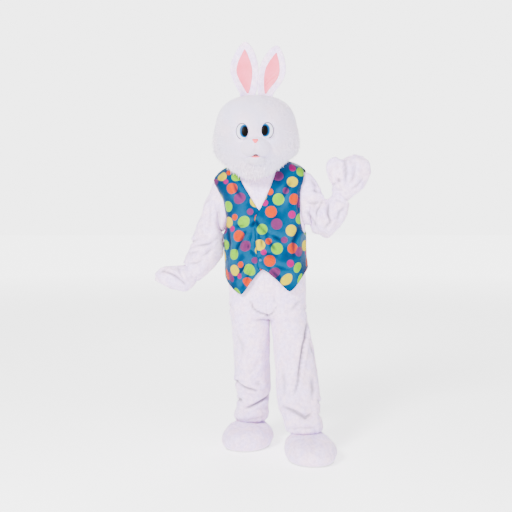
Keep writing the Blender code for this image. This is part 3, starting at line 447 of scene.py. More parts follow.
def crease(points, normals, facing, line, wide, deep, lips=(0.6, 0.35)):
    """How far a crease moves the cloth: a trough along the line between two soft ridges."""
    across, off, sign = FACINGS[facing]
    place = np.stack([points[..., across], height_of(points)], axis=-1)
    line = np.array(line, float)
    lengths = np.linalg.norm(np.diff(line, axis=0), axis=1)
    starts = np.concatenate([[0], np.cumsum(lengths)])
    best = np.full(place.shape[:-1], 9.0)
    along, beside = np.zeros_like(best), np.zeros_like(best)
    for k, length in enumerate(lengths):
        step = line[k + 1] - line[k]
        from_start = place - line[k]
        t = np.clip((from_start @ step) / length ** 2, 0, 1)
        gap = from_start - t[..., None] * step
        reach = np.linalg.norm(gap, axis=-1)
        nearer = reach < best
        turn = step[0] * from_start[..., 1] - step[1] * from_start[..., 0]
        best = np.where(nearer, reach, best)
        beside = np.where(nearer, np.sign(turn) * reach, beside)
        along = np.where(nearer, (starts[k] + t * length) / starts[-1], along)
    taper = np.sin(np.pi * np.clip(0.04 + 0.92 * along, 0, 1)) ** 0.7
    facing_it = smooth(-0.05, 0.45, sign * normals[..., off])
    push = -np.exp(-(beside / wide) ** 2)
    push += lips[0] * np.exp(-((beside - 1.9 * wide) / (1.4 * wide)) ** 2)
    push += lips[1] * np.exp(-((beside + 1.9 * wide) / (1.4 * wide)) ** 2)
    return push * deep * taper * facing_it


def creases(points, normals, table):
    """All the creases of a table together: for each facing, its lines with their width, depth and ridges."""
    pushes = [crease(points, normals, facing, *line) for facing, lines in table.items() for line in lines]
    return sum(pushes, np.zeros(points.shape[:-1]))


def slack(points, size, deep, seed, stretch=(1, 1, 0.45)):
    """Slow hills and hollows of loose cloth, longer along the drop than across."""
    flat = points.reshape(-1, 3) * np.array(stretch) / size + seed * 7.3
    found = np.array([noise.noise(Vector(p)) for p in flat])
    return found.reshape(points.shape[:-1]) * deep


def cloth_lengths(grid):
    """How far each point lies along its row and its column of the cloth."""
    across, down = np.zeros(grid.shape[:2]), np.zeros(grid.shape[:2])
    across[:, 1:] = np.cumsum(np.linalg.norm(np.diff(grid, axis=1), axis=2), axis=1)
    down[1:] = np.cumsum(np.linalg.norm(np.diff(grid, axis=0), axis=2), axis=0)
    return across, down


def edge_gap(grid, edges):
    """How far each point lies from the nearest of these edges, given as l, r, b and t."""
    across, down = cloth_lengths(grid)
    gaps = {"l": across, "r": across[:, -1:] - across, "b": down, "t": down[-1:] - down}
    return np.minimum.reduce([gaps[edge] for edge in edges])


def seam_groove(grid, edges, deep, wide):
    """A shallow groove beside the seams at these edges of a panel."""
    return -deep * np.exp(-(edge_gap(grid, edges) / wide) ** 2)


def drawn_back(grid, normals, edges):
    """How far each edge point is drawn back, square to its seam."""
    rows, columns = grid.shape[:2]
    order = {"b": (0, slice(None)), "t": (rows - 1, slice(None, None, -1)),
             "r": (slice(None), columns - 1), "l": (slice(None, None, -1), 0)}
    pulls = np.zeros_like(grid)
    for edge in edges:
        line, across = grid[order[edge]], normals[order[edge]]
        step = np.gradient(line, axis=0)
        inward = np.cross(across, step)
        inward /= np.maximum(np.linalg.norm(inward, axis=1, keepdims=True), 1e-9)
        pulls[order[edge]] += inward
    return pulls * SEAM_GAP * 0.4


def cloth_map(grid):
    """Where each point lies in the flat cloth, in metres: across and along."""
    across, down = cloth_lengths(grid)
    return np.stack([across, np.broadcast_to(down.mean(axis=1, keepdims=True), down.shape)], axis=-1)


def settle(piece, finish):
    """Gives a piece its finish; it rides on the costume's one body."""
    piece.data.materials.append(finish)
    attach(piece, "root")
    return piece


def add_piece(name, mesh, finish):
    piece = bpy.data.objects.new(name, mesh)
    bpy.context.scene.collection.objects.link(piece)
    return settle(piece, finish)


def solid_mesh(name, points, faces):
    mesh = bpy.data.meshes.new(name)
    mesh.from_pydata(np.array(points).tolist(), [], faces)
    mesh.shade_smooth()
    return mesh


def two_skins(rows, columns, closed):
    """The faces of an outer grid and the inner grid behind it, before any rim."""
    skin = quads((rows, columns), closed)
    return [tuple(f) for f in skin] + [tuple(f[::-1] + rows * columns) for f in skin]


def sheet_mesh(name, outer, inner, closed=False):
    """A closed mesh between an outer and an inner grid, with the rims between them."""
    rows, columns = outer.shape[:2]
    size, faces = rows * columns, two_skins(rows, columns, closed)
    for r in (0, rows - 1):
        for c in range(columns if closed else columns - 1):
            a, b = r * columns + c, r * columns + (c + 1) % columns
            a, b = (b, a) if r == 0 else (a, b)
            faces.append((a, b, b + size, a + size))
    for r in range(0 if closed else rows - 1):
        for a, b in ((r * columns, (r + 1) * columns), ((r + 2) * columns - 1, (r + 1) * columns - 1)):
            faces.append((a, b, b + size, a + size))
    return solid_mesh(name, np.vstack([outer.reshape(-1, 3), inner.reshape(-1, 3)]), faces)


def shell(name, grid, normals, thick, closed, finish, flat, marks=None, inner_marks=None):
    """A sheet with its thickness, its place in the flat cloth and its marks, some other on the inner side."""
    mesh = sheet_mesh(name, grid, grid - normals * thick, closed)
    place = np.tile(flat.reshape(-1, 2), (2, 1))
    layer = mesh.uv_layers.new(name="cloth")
    corner = np.empty(len(mesh.loops), np.int32)
    mesh.loops.foreach_get("vertex_index", corner)
    layer.data.foreach_set("uv", place[corner].ravel())
    for label, values in (marks or {}).items():
        kind = "FLOAT_COLOR" if values.ndim == 3 else "FLOAT"
        made = mesh.attributes.new(label, kind, "POINT")
        values = values.reshape(len(place) // 2, -1)
        behind = np.full_like(values, inner_marks[label]) if label in (inner_marks or {}) else values
        both = np.vstack([values, behind]).astype(np.float32)
        made.data.foreach_set("color" if kind == "FLOAT_COLOR" else "value", both.ravel())
    mesh.update()
    return add_piece(name, mesh, finish)


# ---------------------------------------------------------------- finishes
def new_finish(name, colour, roughness, **sockets):
    """A Principled finish, with its node tree and its shader."""
    made = bpy.data.materials.new(name)
    made.use_nodes = True
    tree = made.node_tree
    shader = tree.nodes["Principled BSDF"]
    shader.inputs["Base Color"].default_value = (*colour, 1)
    shader.inputs["Roughness"].default_value = roughness
    for label, value in sockets.items():
        shader.inputs[label.replace("_", " ")].default_value = value
    return made, tree, shader


def add_node(tree, kind, **values):
    """A shader node with its settings and its input sockets set by name."""
    node = tree.nodes.new(kind)
    for label, value in values.items():
        if label in ("operation", "attribute_name", "uv_map"):
            setattr(node, label, value)
        else:
            node.inputs[label.replace("_", " ")].default_value = value
    return node


def object_place(tree):
    return tree.nodes.new("ShaderNodeTexCoord").outputs["Object"]


def marked(tree, label, output="Fac"):
    """A mark that the mesh carries, read in the finish."""
    return add_node(tree, "ShaderNodeAttribute", attribute_name=label).outputs[output]


def noise_field(tree, where, scale, detail=3, roughness=0.55):
    field = add_node(tree, "ShaderNodeTexNoise", Scale=scale, Detail=detail, Roughness=roughness)
    tree.links.new(where, field.inputs["Vector"])
    return field.outputs["Fac"]


def ramp(tree, fac, stops):
    made = tree.nodes.new("ShaderNodeValToRGB")
    while len(made.color_ramp.elements) < len(stops):
        made.color_ramp.elements.new(0.5)
    for element, (at, colour) in zip(made.color_ramp.elements, stops):
        element.position = at
        element.color = (*colour, 1)
    tree.links.new(fac, made.inputs["Fac"])
    return made.outputs["Color"]


def mix(tree, fac, a, b, blend="MIX"):
    node = tree.nodes.new("ShaderNodeMix")
    node.data_type = "RGBA"
    node.blend_type = blend
    for socket, value in zip((node.inputs[0], node.inputs[6], node.inputs[7]), (fac, a, b)):
        if isinstance(value, bpy.types.NodeSocket):
            tree.links.new(value, socket)
        elif socket == node.inputs[0]:
            socket.default_value = value
        else:
            socket.default_value = (*value, 1)
    return node.outputs[2]


def map_range(tree, value, low, high, start, end):
    """A value between low and high carried over to a range from start to end."""
    node = add_node(tree, "ShaderNodeMapRange", From_Min=low, From_Max=high, To_Min=start, To_Max=end)
    tree.links.new(value, node.inputs["Value"])
    return node.outputs["Result"]


def maths(tree, operation, *values):
    """A number worked out from sockets and plain numbers."""
    node = add_node(tree, "ShaderNodeMath", operation=operation)
    for socket, value in zip(node.inputs, values):
        if isinstance(value, bpy.types.NodeSocket):
            tree.links.new(value, socket)
        else:
            socket.default_value = value
    return node.outputs[0]


def bump(tree, heights, shader):
    """Bumps in a chain: (height socket, strength, distance)."""
    before = None
    for height, strength, distance in heights:
        node = add_node(tree, "ShaderNodeBump", Strength=strength, Distance=distance)
        tree.links.new(height, node.inputs["Height"])
        if before:
            tree.links.new(before, node.inputs["Normal"])
        before = node.outputs["Normal"]
    tree.links.new(before, shader.inputs["Normal"])


def plush(name, cool, warm):
    """Short plush: brushed patches, cool and warm, a fine tufted nap, and painted shade in the bottoms of the
    folds.
    """
    made, tree, shader = new_finish(name, cool, 0.92, Sheen_Weight=0.35, Sheen_Roughness=0.45,
                                    Specular_IOR_Level=0.2)
    shader.inputs["Sheen Tint"].default_value = (1, 1, 1, 1)
    where = object_place(tree)
    patches = noise_field(tree, where, 15, 5, 0.62)
    brushed = noise_field(tree, where, 55, 3, 0.6)
    tufts = noise_field(tree, where, 170, 3, 0.6)
    fine = noise_field(tree, where, 520, 2, 0.6)
    colour = ramp(tree, patches, [(0.38, warm), (0.60, cool)])
    brushing = ramp(tree, brushed, [(0.36, (0.80, 0.76, 0.84)), (0.60, (1, 1, 1))])
    napped = ramp(tree, tufts, [(0.34, (0.86, 0.84, 0.88)), (0.60, (1, 1, 1))])
    both = mix(tree, 1.0, mix(tree, 1.0, colour, brushing, "MULTIPLY"), napped, "MULTIPLY")
    # painted shade: the colour darkens towards grey-lilac in the bottoms of the folds
    both = mix(tree, marked(tree, "hollow"), both, (0.24, 0.20, 0.26))
    tree.links.new(both, shader.inputs["Base Color"])
    bump(tree, [(patches, 0.25, 0.006), (brushed, 0.3, 0.003), (tufts, 0.55, 0.0022),
                (fine, 0.45, 0.0009)], shader)
    return made


WHITE_FINISH = plush("white plush", (0.83, 0.66, 0.99), (0.95, 0.71, 0.90))


# ---------------------------------------------------------------- coverall
FRONT_CREASES = {
    "front": [
        ([(-.034, .81), (-.014, .765), (.021, .74), (.066, .728), (.091, .74), (.104, .768)], .0075, .01),
        ([(.104, .775), (.133, .763)], .006, .006), ([(-.008, .703), (.063, .7)], .006, .006),
        ([(-.01, .93), (-.018, .87), (-.019, .784)], .014, .004),
        ([(.107, .91), (.099, .838), (.104, .779)], .012, .005),
        ([(.045, .9), (.04, .83), (.043, .775)], .016, .003),
        ([(.259, .815), (.219, .786), (.181, .751)], .012, .005),
        ([(.285, .7), (.27, .63), (.256, .588), (.237, .492), (.222, .395), (.199, .324)], .009, .013),
        ([(.14, .268), (.203, .246), (.26, .217), (.304, .239)], .011, .011),
        ([(.3, .42), (.305, .35), (.29, .29)], .014, .006),
        ([(.135, .46), (.15, .38), (.15, .31)], .016, .004),
        ([(-.122, .362), (-.057, .325), (.021, .298)], .009, .009),
        ([(.095, .3), (.067, .263), (.021, .236), (-.064, .203)], .009, .013),
        ([(.028, .485), (0, .448), (-.025, .406)], .012, .004), ([(-.044, .465), (-.025, .406)], .01, .003),
        ([(-.118, .285), (-.09, .25), (-.075, .225)], .012, .006),
        ([(-.122, .15), (-.045, .152), (.055, .165)], .007, .004),
        ([(.16, .16), (.239, .172), (.325, .168)], .007, .004),
        ([(-.105, .62), (-.075, .56), (-.07, .5)], .016, .004),
        ([(.02, .6), (.045, .54), (.05, .46)], .014, .003),
    ],
}
BACK_CREASES = {
    "back": [
        ([(-.06, .8), (-.02, .762), (.03, .742), (.085, .738), (.14, .756), (.185, .795)], .01, .01),
        ([(-.1, .715), (-.05, .7), (.01, .706)], .009, .007),
        ([(.12, .7), (.19, .69), (.25, .705)], .009, .007),
        ([(-.11, .505), (-.04, .47), (.05, .462)], .01, .009),
        ([(-.095, .445), (-.03, .425), (.04, .432)], .009, .007),
        ([(.12, .5), (.2, .462), (.29, .468)], .011, .01),
        ([(.14, .44), (.21, .415), (.28, .43)], .009, .007),
        ([(-.105, .3), (-.04, .262), (.045, .27)], .009, .01),
        ([(.15, .29), (.22, .252), (.31, .272)], .01, .011),
        ([(-.1, .215), (-.03, .19), (.04, .2)], .008, .006),
        ([(.17, .205), (.24, .186), (.32, .2)], .008, .006),
        ([(-.08, .66), (-.065, .6), (-.075, .53)], .014, .005),
        ([(.24, .66), (.255, .59), (.245, .52)], .015, .005),
        ([(.07, .9), (.06, .84), (.068, .78)], .014, .005),
        ([(-.12, .88), (-.1, .83), (-.11, .77)], .013, .004),
    ],
}
SIDE_CREASES = {
    "left": [
        ([(-.14, .63), (-.12, .52), (-.14, .4)], .013, .006),
        ([(-.25, .3), (-.18, .262), (-.1, .262)], .01, .009),
        ([(-.27, .225), (-.2, .205), (-.13, .215)], .008, .006),
        ([(-.08, .78), (-.02, .74), (.05, .73)], .011, .006),
        ([(-.1, .4), (-.07, .34), (-.09, .28)], .011, .006),
    ],
    "right": [
        ([(-.05, .365), (.02, .335), (.1, .345)], .009, .008),
        ([(-.04, .255), (.03, .235), (.1, .245)], .008, .007),
        ([(.02, .65), (.04, .56), (.02, .46)], .013, .005),
        ([(-.06, .79), (.01, .75), (.08, .74)], .011, .006),
        ([(-.02, .52), (0, .45), (-.02, .38)], .012, .004),
    ],
}


def gathers(points, centre, deep, folds, reach, seed):
    """Small folds that run up out of the ankle's elastic."""
    turn = np.arctan2(points[..., 1] - centre[1], points[..., 0] - centre[0])
    up = height_of(points) - ANKLE_HEIGHT
    wave = np.sin(folds * turn + seed + 0.9 * np.sin(3 * turn + seed))
    wave += 0.5 * np.sin((folds * 1.6) // 1 * turn + 2 * seed)
    return deep * wave * np.exp(-(up / reach) ** 2) * smooth(-0.001, 0.006, up)


def under_vest(points):
    """1 where the vest covers the coverall."""
    return smooth(0.80, 0.86, height_of(points))


def body_push(side, points, folds):
    """How far a body panel's folds stand out: none under the vest and none between the legs."""
    height, ankle = height_of(points), LEGS[side].read(ANKLE_HEIGHT)
    push = folds + slack(points, 0.12, 0.011, 1) + slack(points, 0.05, 0.0055, 2, (1, 1, 0.7))
    push += gathers(points, (ankle["x"], ankle["y"]), 0.0042, 15, 0.032, 1.3 if side == "left" else 4)
    push *= smooth(ANKLE_HEIGHT - 0.02, ANKLE_HEIGHT + 0.03, height)
    push += 0.006 * np.exp(-((height - 0.146) / 0.012) ** 2)
    covered = under_vest(points)
    push = push * (1 - covered) + covered * np.minimum(push * 0.3, 0)
    crotch = np.exp(-((height - CROTCH_HEIGHT) / 0.04) ** 2)
    inside = smooth(0.35, 0.0, np.abs(points[..., 0] - TORSO.read(CROTCH_HEIGHT)["x"]) / 0.06)
    return push * (1 - crotch * inside)


def hollow_shade(folds, most):
    """How much shade is painted into the bottoms of the folds."""
    return np.clip(-(folds + 0.0005) / 0.007, 0, 1) ** 1.3 * most


ARM_CREASES = {
    "right": {
        "front": [
            ([(-.345, 1.1), (-.254, 1.113), (-.212, 1.14)], .009, .008),
            ([(-.305, 1.036), (-.267, 1.062), (-.228, 1.096)], .009, .007),
            ([(-.256, 1.36), (-.248, 1.274), (-.246, 1.19)], .014, .004),
            ([(-.207, 1.36), (-.2, 1.268), (-.206, 1.17)], .012, .005),
            ([(-.371, 1.01), (-.322, 1.01), (-.273, 1.035)], .008, .006),
            ([(-.375, 1.06), (-.33, 1.068), (-.29, 1.085)], .009, .005),
            ([(-.3, 1.2), (-.285, 1.16), (-.25, 1.145)], .01, .004),
        ],
        "back": [
            ([(-.345, 1.13), (-.27, 1.11), (-.2, 1.13)], .011, .009),
            ([(-.36, 1.08), (-.3, 1.05), (-.23, 1.07)], .009, .008),
            ([(-.31, 1.2), (-.26, 1.175), (-.2, 1.19)], .01, .007),
            ([(-.24, 1.37), (-.235, 1.3), (-.245, 1.24)], .014, .005),
            ([(-.38, 1.02), (-.33, .985), (-.28, .99)], .008, .005),
        ],
        "right": [
            ([(0, 1.36), (.05, 1.28), (.03, 1.2)], .014, .005),
            ([(-.05, 1.14), (0, 1.115), (.07, 1.13)], .01, .008),
        ],
    },
    "left": {
        "front": [
            ([(.283, 1.4), (.315, 1.404), (.352, 1.388)], .007, .007),
            ([(.272, 1.339), (.305, 1.331), (.35, 1.343)], .008, .009),
            ([(.385, 1.345), (.378, 1.276), (.396, 1.237), (.36, 1.196)], .009, .01),
            ([(.362, 1.352), (.322, 1.289), (.318, 1.225)], .008, .009),
            ([(.275, 1.29), (.3, 1.249), (.322, 1.196)], .009, .007),
            ([(.478, 1.318), (.44, 1.286), (.424, 1.225)], .012, .006),
            ([(.292, 1.467), (.322, 1.43), (.318, 1.38)], .009, .006),
            ([(.345, 1.3), (.352, 1.262), (.34, 1.232)], .007, .005),
            ([(.405, 1.355), (.44, 1.345), (.478, 1.33)], .008, .004),
        ],
        "back": [
            ([(.28, 1.395), (.32, 1.37), (.352, 1.385)], .009, .008),
            ([(.275, 1.32), (.32, 1.3), (.362, 1.33)], .01, .009),
            ([(.33, 1.265), (.37, 1.225), (.42, 1.235)], .011, .01),
            ([(.4, 1.32), (.43, 1.285), (.48, 1.29)], .009, .007),
            ([(.3, 1.25), (.33, 1.205), (.37, 1.185)], .009, .006),
        ],
        "left": [
            ([(-.13, 1.3), (-.08, 1.27), (-.03, 1.25)], .01, .006),
        ],
    },
}


def sleeve_push(side, grid, normals, folds):
    """How far a sleeve's folds stand out, with a bag at the elbow or the shoulder and a puckered cuff."""
    push = folds + slack(grid, 0.075, 0.009, 3, (1, 1, 0.8)) + slack(grid, 0.035, 0.0045, 4, (1, 1, 1))
    if side == "right":
        bag = 0.019 * np.exp(-((height_of(grid) - 1.185) / 0.038) ** 2) * smooth(0.1, 0.7, normals[..., 0])
    else:
        bag = 0.024 * np.exp(-((grid[..., 0] - 0.270) / 0.030) ** 2) * smooth(0.1, 0.8, -normals[..., 2])
    down = np.linspace(0, 1, grid.shape[0])[:, None]
    turn = np.linspace(0, 2 * np.pi, grid.shape[1], endpoint=False)[None]
    puckers = 0.0035 * np.sin(13 * turn + 0.8 * np.sin(3 * turn)) * np.exp(-((1 - down) / 0.07) ** 2)
    return (push + bag + puckers) * smooth(0.0, 0.05, down) * smooth(1.0, 0.985, down)


def underarm_sag(grid):
    """The hanging arm's cloth sags under the armhole, down onto the vest's side."""
    height, down = height_of(grid), np.linspace(0, 1, len(grid))[:, None]
    sag = smooth(1.138, 1.215, height) * smooth(1.275, 1.225, height) * smooth(-0.24, -0.195, grid[..., 0])
    return 0.041 * sag * smooth(0.0, 0.03, down)


def coverall_panels():
    """The surface of each panel by its name, and whether it is closed right round, as the sleeves are."""
    panels = {}
    for side in SIDES:
        for part in ("front", "back"):
            grid = body_panel(side, part == "back")
            flip = (side == "right") == (part == "front")
            panels[f"coverall_{part}_{side}"] = (grid[:, ::-1] if flip else grid, False)
        grid = sleeve_grid(side)
        panels[f"sleeve_{side}"] = (grid[:, ::-1] if side == "left" else grid, True)
    return panels


def coverall():
    """Four body panels and two sleeves, sewn edge to edge."""
    panels, moved, hollows = coverall_panels(), [], {}
    for (name, (grid, closed)), normals in zip(panels.items(), shared_normals(list(panels.values()))):
        height, side = height_of(grid), name.rsplit("_", 1)[1]
        if closed:
            folds = SLEEVE_FOLDS * creases(grid, normals, ARM_CREASES[side])
            push = sleeve_push(side, grid, normals, folds) + seam_groove(grid, "b", 0.003, 0.007)
            move = normals * push[..., None]
        else:
            table = {**(FRONT_CREASES if "front" in name else BACK_CREASES), **SIDE_CREASES}
            folds = BODY_FOLDS * creases(grid, normals, table)
            push = body_push(side, grid, folds)
            folds = folds * (1 - under_vest(grid))
            push += seam_groove(grid, "lr", 0.0009, 0.006) * smooth(.02, .06, height - ANKLE_HEIGHT)
            move = normals * push[..., None]
            move[..., 2] *= 1 - np.exp(-((height - CROTCH_HEIGHT) / 0.03) ** 2)
            move[..., 2] -= 0.012 * smooth(0.20, ANKLE_HEIGHT, height)
        if name == "sleeve_right":
            move[..., 2] -= underarm_sag(grid)
        moved.append((grid + move, closed))
        # painted shade for the bottoms of the folds, which the finish reads as a mark
        hollows[name] = hollow_shade(folds, 0.85)
    for (name, (start, closed)), (grid, _), normals in zip(panels.items(), moved, shared_normals(moved)):
        grid = grid + drawn_back(grid, normals, "b" if closed else "lr")
        piece = shell(name + "_cloth", grid, normals, PLUSH_THICK, closed, WHITE_FINISH,
                      cloth_map(start), {"hollow": hollows[name]})
        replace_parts(piece, name)


# ---------------------------------------------------------------- vest
DOT_REPEAT = (0.270, 0.2612)
YELLOW, GREEN, ORANGE = (0.37, 0.295, 0.0008), (0.105, 0.285, 0.006), (0.36, 0.025, 0.0003)
PURPLE, PINK = (0.085, 0.016, 0.064), (0.20, 0.0004, 0.082)
DOTS = [                     # across, up, radius in metres
    (0.000, 0.000, 0.0315, GREEN), (-0.037, -0.067, 0.0305, ORANGE), (-0.005, -0.131, 0.0300, PURPLE),
    (0.074, -0.163, 0.0310, YELLOW), (0.075, -0.079, 0.0205, PINK), (0.085, 0.003, 0.0290, ORANGE),
    (0.038, 0.047, 0.0180, PURPLE), (-0.045, 0.038, 0.0170, ORANGE), (-0.070, -0.021, 0.0165, PINK),
    (-0.091, 0.016, 0.0300, YELLOW), (-0.080, 0.101, 0.0290, GREEN), (0.128, -0.015, 0.0270, PURPLE),
    (0.125, -0.101, 0.0280, GREEN)]
DOT_PLACES = {               # where the first dot lies on the cloth (x and height), and the cloth's slant
    "vest_front_left": ((0.119, 1.355), 1.5), "vest_front_right": ((-0.069, 1.233), -5.8),
    "vest_back": ((0.05, 1.30), 0.5)}
FRONT_COLUMNS, FRONT_HEM_ROWS = 52, 34
BACK_COLUMNS, BACK_HEM_ROWS = 92, 10
SMALL_DOT = 0.022            # the dots up to this radius have marks of their own
SHOULDER_DROOP = {"vest_front_left": 0.013, "vest_front_right": 0.024, "vest_back": 0.010}
VEST_PANELS = {              # sewn edges, finished edges, size of the flat cloth
    "vest_front_left": ("r", "lb", (0.31, 0.74)), "vest_front_right": ("l", "rb", (0.31, 0.74)),
    "vest_back": ("lr", "b", (0.56, 0.66))}


def vest_point(turn, height, rise=0.0):
    """A point of the vest, which stands off the coverall and lies over it on the shoulders."""
    ease = VEST.read(height)
    return torso_point(turn, height, ease["side"] + rise, ease["front"] + rise,
                       0.0022 * smooth_step(1.44, 1.50, height))


def v_turn(height):
    """The turn at which the V neck's edge lies."""
    aside = VEST_V.read(height)["aside"]
    share = min(aside / TORSO.read(height)["side"], 1.0)
    return math.degrees(math.asin(share ** (SQUARENESS / 2)))


def vest_heights():
    rows = list(np.linspace(VEST_WAIST, VEST_ARMHOLE_LOW, 30))
    rows += rounded_steps(VEST_ARMHOLE_LOW, VEST_ARMHOLE_HIGH, 55)[1:]
    return rows + list(np.linspace(VEST_ARMHOLE_HIGH, VEST_TOP, 16))[1:]


def lap_rise(side, turn):
    """How far the upper front stands off, so that it clears the lower one."""
    return LAP_RISE * (1 - smooth_step(10, 24, turn)) if side == "left" else 0.0


def vest_row(turns, heights, side):
    """A row of a front at these turns and heights, with the lap's rise."""
    return [vest_point(SIDES[side] * turn, height, lap_rise(side, turn))
            for turn, height in zip(turns, heights)]


def vest_armhole(height):
    return armhole_turn(height, VEST_ARMHOLE_LOW, VEST_ARMHOLE_HIGH, VEST_ARMHOLE_HALF_TURN)


def vest_front(side):
    """One front from its pointed hem to the shoulder, from the lap to the side seam."""
    grid, lap, shares = [], VEST_LAP[side], np.linspace(0, 1, FRONT_COLUMNS)
    for up in np.linspace(0, 1, FRONT_HEM_ROWS)[:-1]:
        turns = -lap + (90 + lap) * shares
        hems = np.array([VEST_FRONT_HEM[side].read(turn)["height"] for turn in turns])
        grid.append(vest_row(turns, hems + (VEST_WAIST - hems) * up, side))
    for height in vest_heights():
        start = v_turn(height) if height > 1.30 else -lap * smooth_step(1.30, 1.24, height)
        turns = start + (vest_armhole(height) - start) * shares
        grid.append(vest_row(turns, np.full(FRONT_COLUMNS, height), side))
    return to_row(grid)


def wrapped(turns):
    """The same turns between -180 and 180 degrees."""
    return np.where(turns <= 180, turns, turns - 360)


def vest_back():
    """The back from its hem to the neck, from the left side seam round to the right one."""
    grid, shares = [], np.linspace(0, 1, BACK_COLUMNS)
    hems = VEST_SIDE_HEM["left"] * (1 - shares) + VEST_SIDE_HEM["right"] * shares
    for up in np.linspace(0, 1, BACK_HEM_ROWS)[:-1]:
        heights = hems + (VEST_WAIST - hems) * up
        grid.append([vest_point(turn, height) for turn, height in zip(wrapped(90 + 180 * shares), heights)])
    for height in vest_heights():
        start = 180 - vest_armhole(height)
        grid.append([vest_point(turn, height) for turn in wrapped(start + (360 - 2 * start) * shares)])
    return to_row(grid)


def dots_on(name, flat, grid):
    """The nearest large dot's and small dot's edge and colour at each point of the cloth."""
    (x, height), slant = DOT_PLACES[name]
    gap = np.hypot(grid[..., 0] - x, height_of(grid) - height)
    start = flat.reshape(-1, 2)[gap.argmin()]
    slant = math.radians(slant)
    across, up = flat[..., 0] - start[0], flat[..., 1] - start[1]
    across, up = (across * math.cos(slant) - up * math.sin(slant),
                  across * math.sin(slant) + up * math.cos(slant))
    found = {}
    for layer, chosen in (("dot", [dot for dot in DOTS if dot[2] > SMALL_DOT]),
                          ("spot", [dot for dot in DOTS if dot[2] <= SMALL_DOT])):
        edge, colour = np.full(across.shape, 9.0), np.zeros(across.shape + (4,))
        for dot_x, dot_up, radius, tint in chosen:
            dx = (across - dot_x + DOT_REPEAT[0] / 2) % DOT_REPEAT[0] - DOT_REPEAT[0] / 2
            dy = (up - dot_up + DOT_REPEAT[1] / 2) % DOT_REPEAT[1] - DOT_REPEAT[1] / 2
            gap = np.hypot(dx, dy) - radius
            nearer = gap < edge
            edge = np.where(nearer, gap, edge)
            colour[nearer] = (*tint, 1)
        found[layer + "_edge"], found[layer + "_tint"] = edge, colour
    return found


def satin_finish():
    """Blue satin with printed dots, a soft shine, a darker turned edge, painted shade in the fold bottoms and
    a painted highlight on the fold ridges.
    """
    made, tree, shader = new_finish("dotted blue satin", (0.001, 0.05, 0.13), 0.50, Specular_IOR_Level=0.32)
    links, where = tree.links, object_place(tree)
    slow = noise_field(tree, where, 9, 3, 0.5)
    printed = ramp(tree, slow, [(0.32, (0.0002, 0.017, 0.055)), (0.66, (0.0004, 0.034, 0.092))])
    for layer in ("dot", "spot"):
        inside = map_range(tree, marked(tree, layer + "_edge"), -0.0005, 0.0006, 1.0, 0.0)
        printed = mix(tree, inside, printed, marked(tree, layer + "_tint", "Color"))
    shine = add_node(tree, "ShaderNodeHueSaturation", Value=5.0, Saturation=1.1)
    links.new(printed, shine.inputs["Color"])
    links.new(shine.outputs["Color"], shader.inputs["Specular Tint"])
    # painted shade: darker blue in the bottoms of the folds
    painted_shade_colour = mix(tree, marked(tree, "hollow"), printed, (0.0002, 0.008, 0.028))
    # painted highlight: lighter teal on the ridges of the folds, off the dots
    painted_highlight_colour = mix(tree, marked(tree, "ridge"), painted_shade_colour, (0.0020, 0.075, 0.155))
    near_hem = map_range(tree, marked(tree, "hem"), 0.0, 0.006, 0.55, 0.0)
    links.new(mix(tree, near_hem, painted_highlight_colour, (0.0004, 0.012, 0.040)), shader.inputs["Base Color"])
    weft = add_node(tree, "ShaderNodeMapping")
    weft.inputs["Scale"].default_value = (260, 1500, 1)
    links.new(add_node(tree, "ShaderNodeUVMap", uv_map="cloth").outputs["UV"], weft.inputs["Vector"])
    threads = noise_field(tree, weft.outputs["Vector"], 1.0, 2, 0.5)
    crinkle = noise_field(tree, where, 38, 4, 0.6)
    rumple = noise_field(tree, where, 17, 4, 0.6)
    bump(tree, [(rumple, 0.5, 0.010), (crinkle, 0.25, 0.003), (threads, 0.12, 0.0006)], shader)
    return made


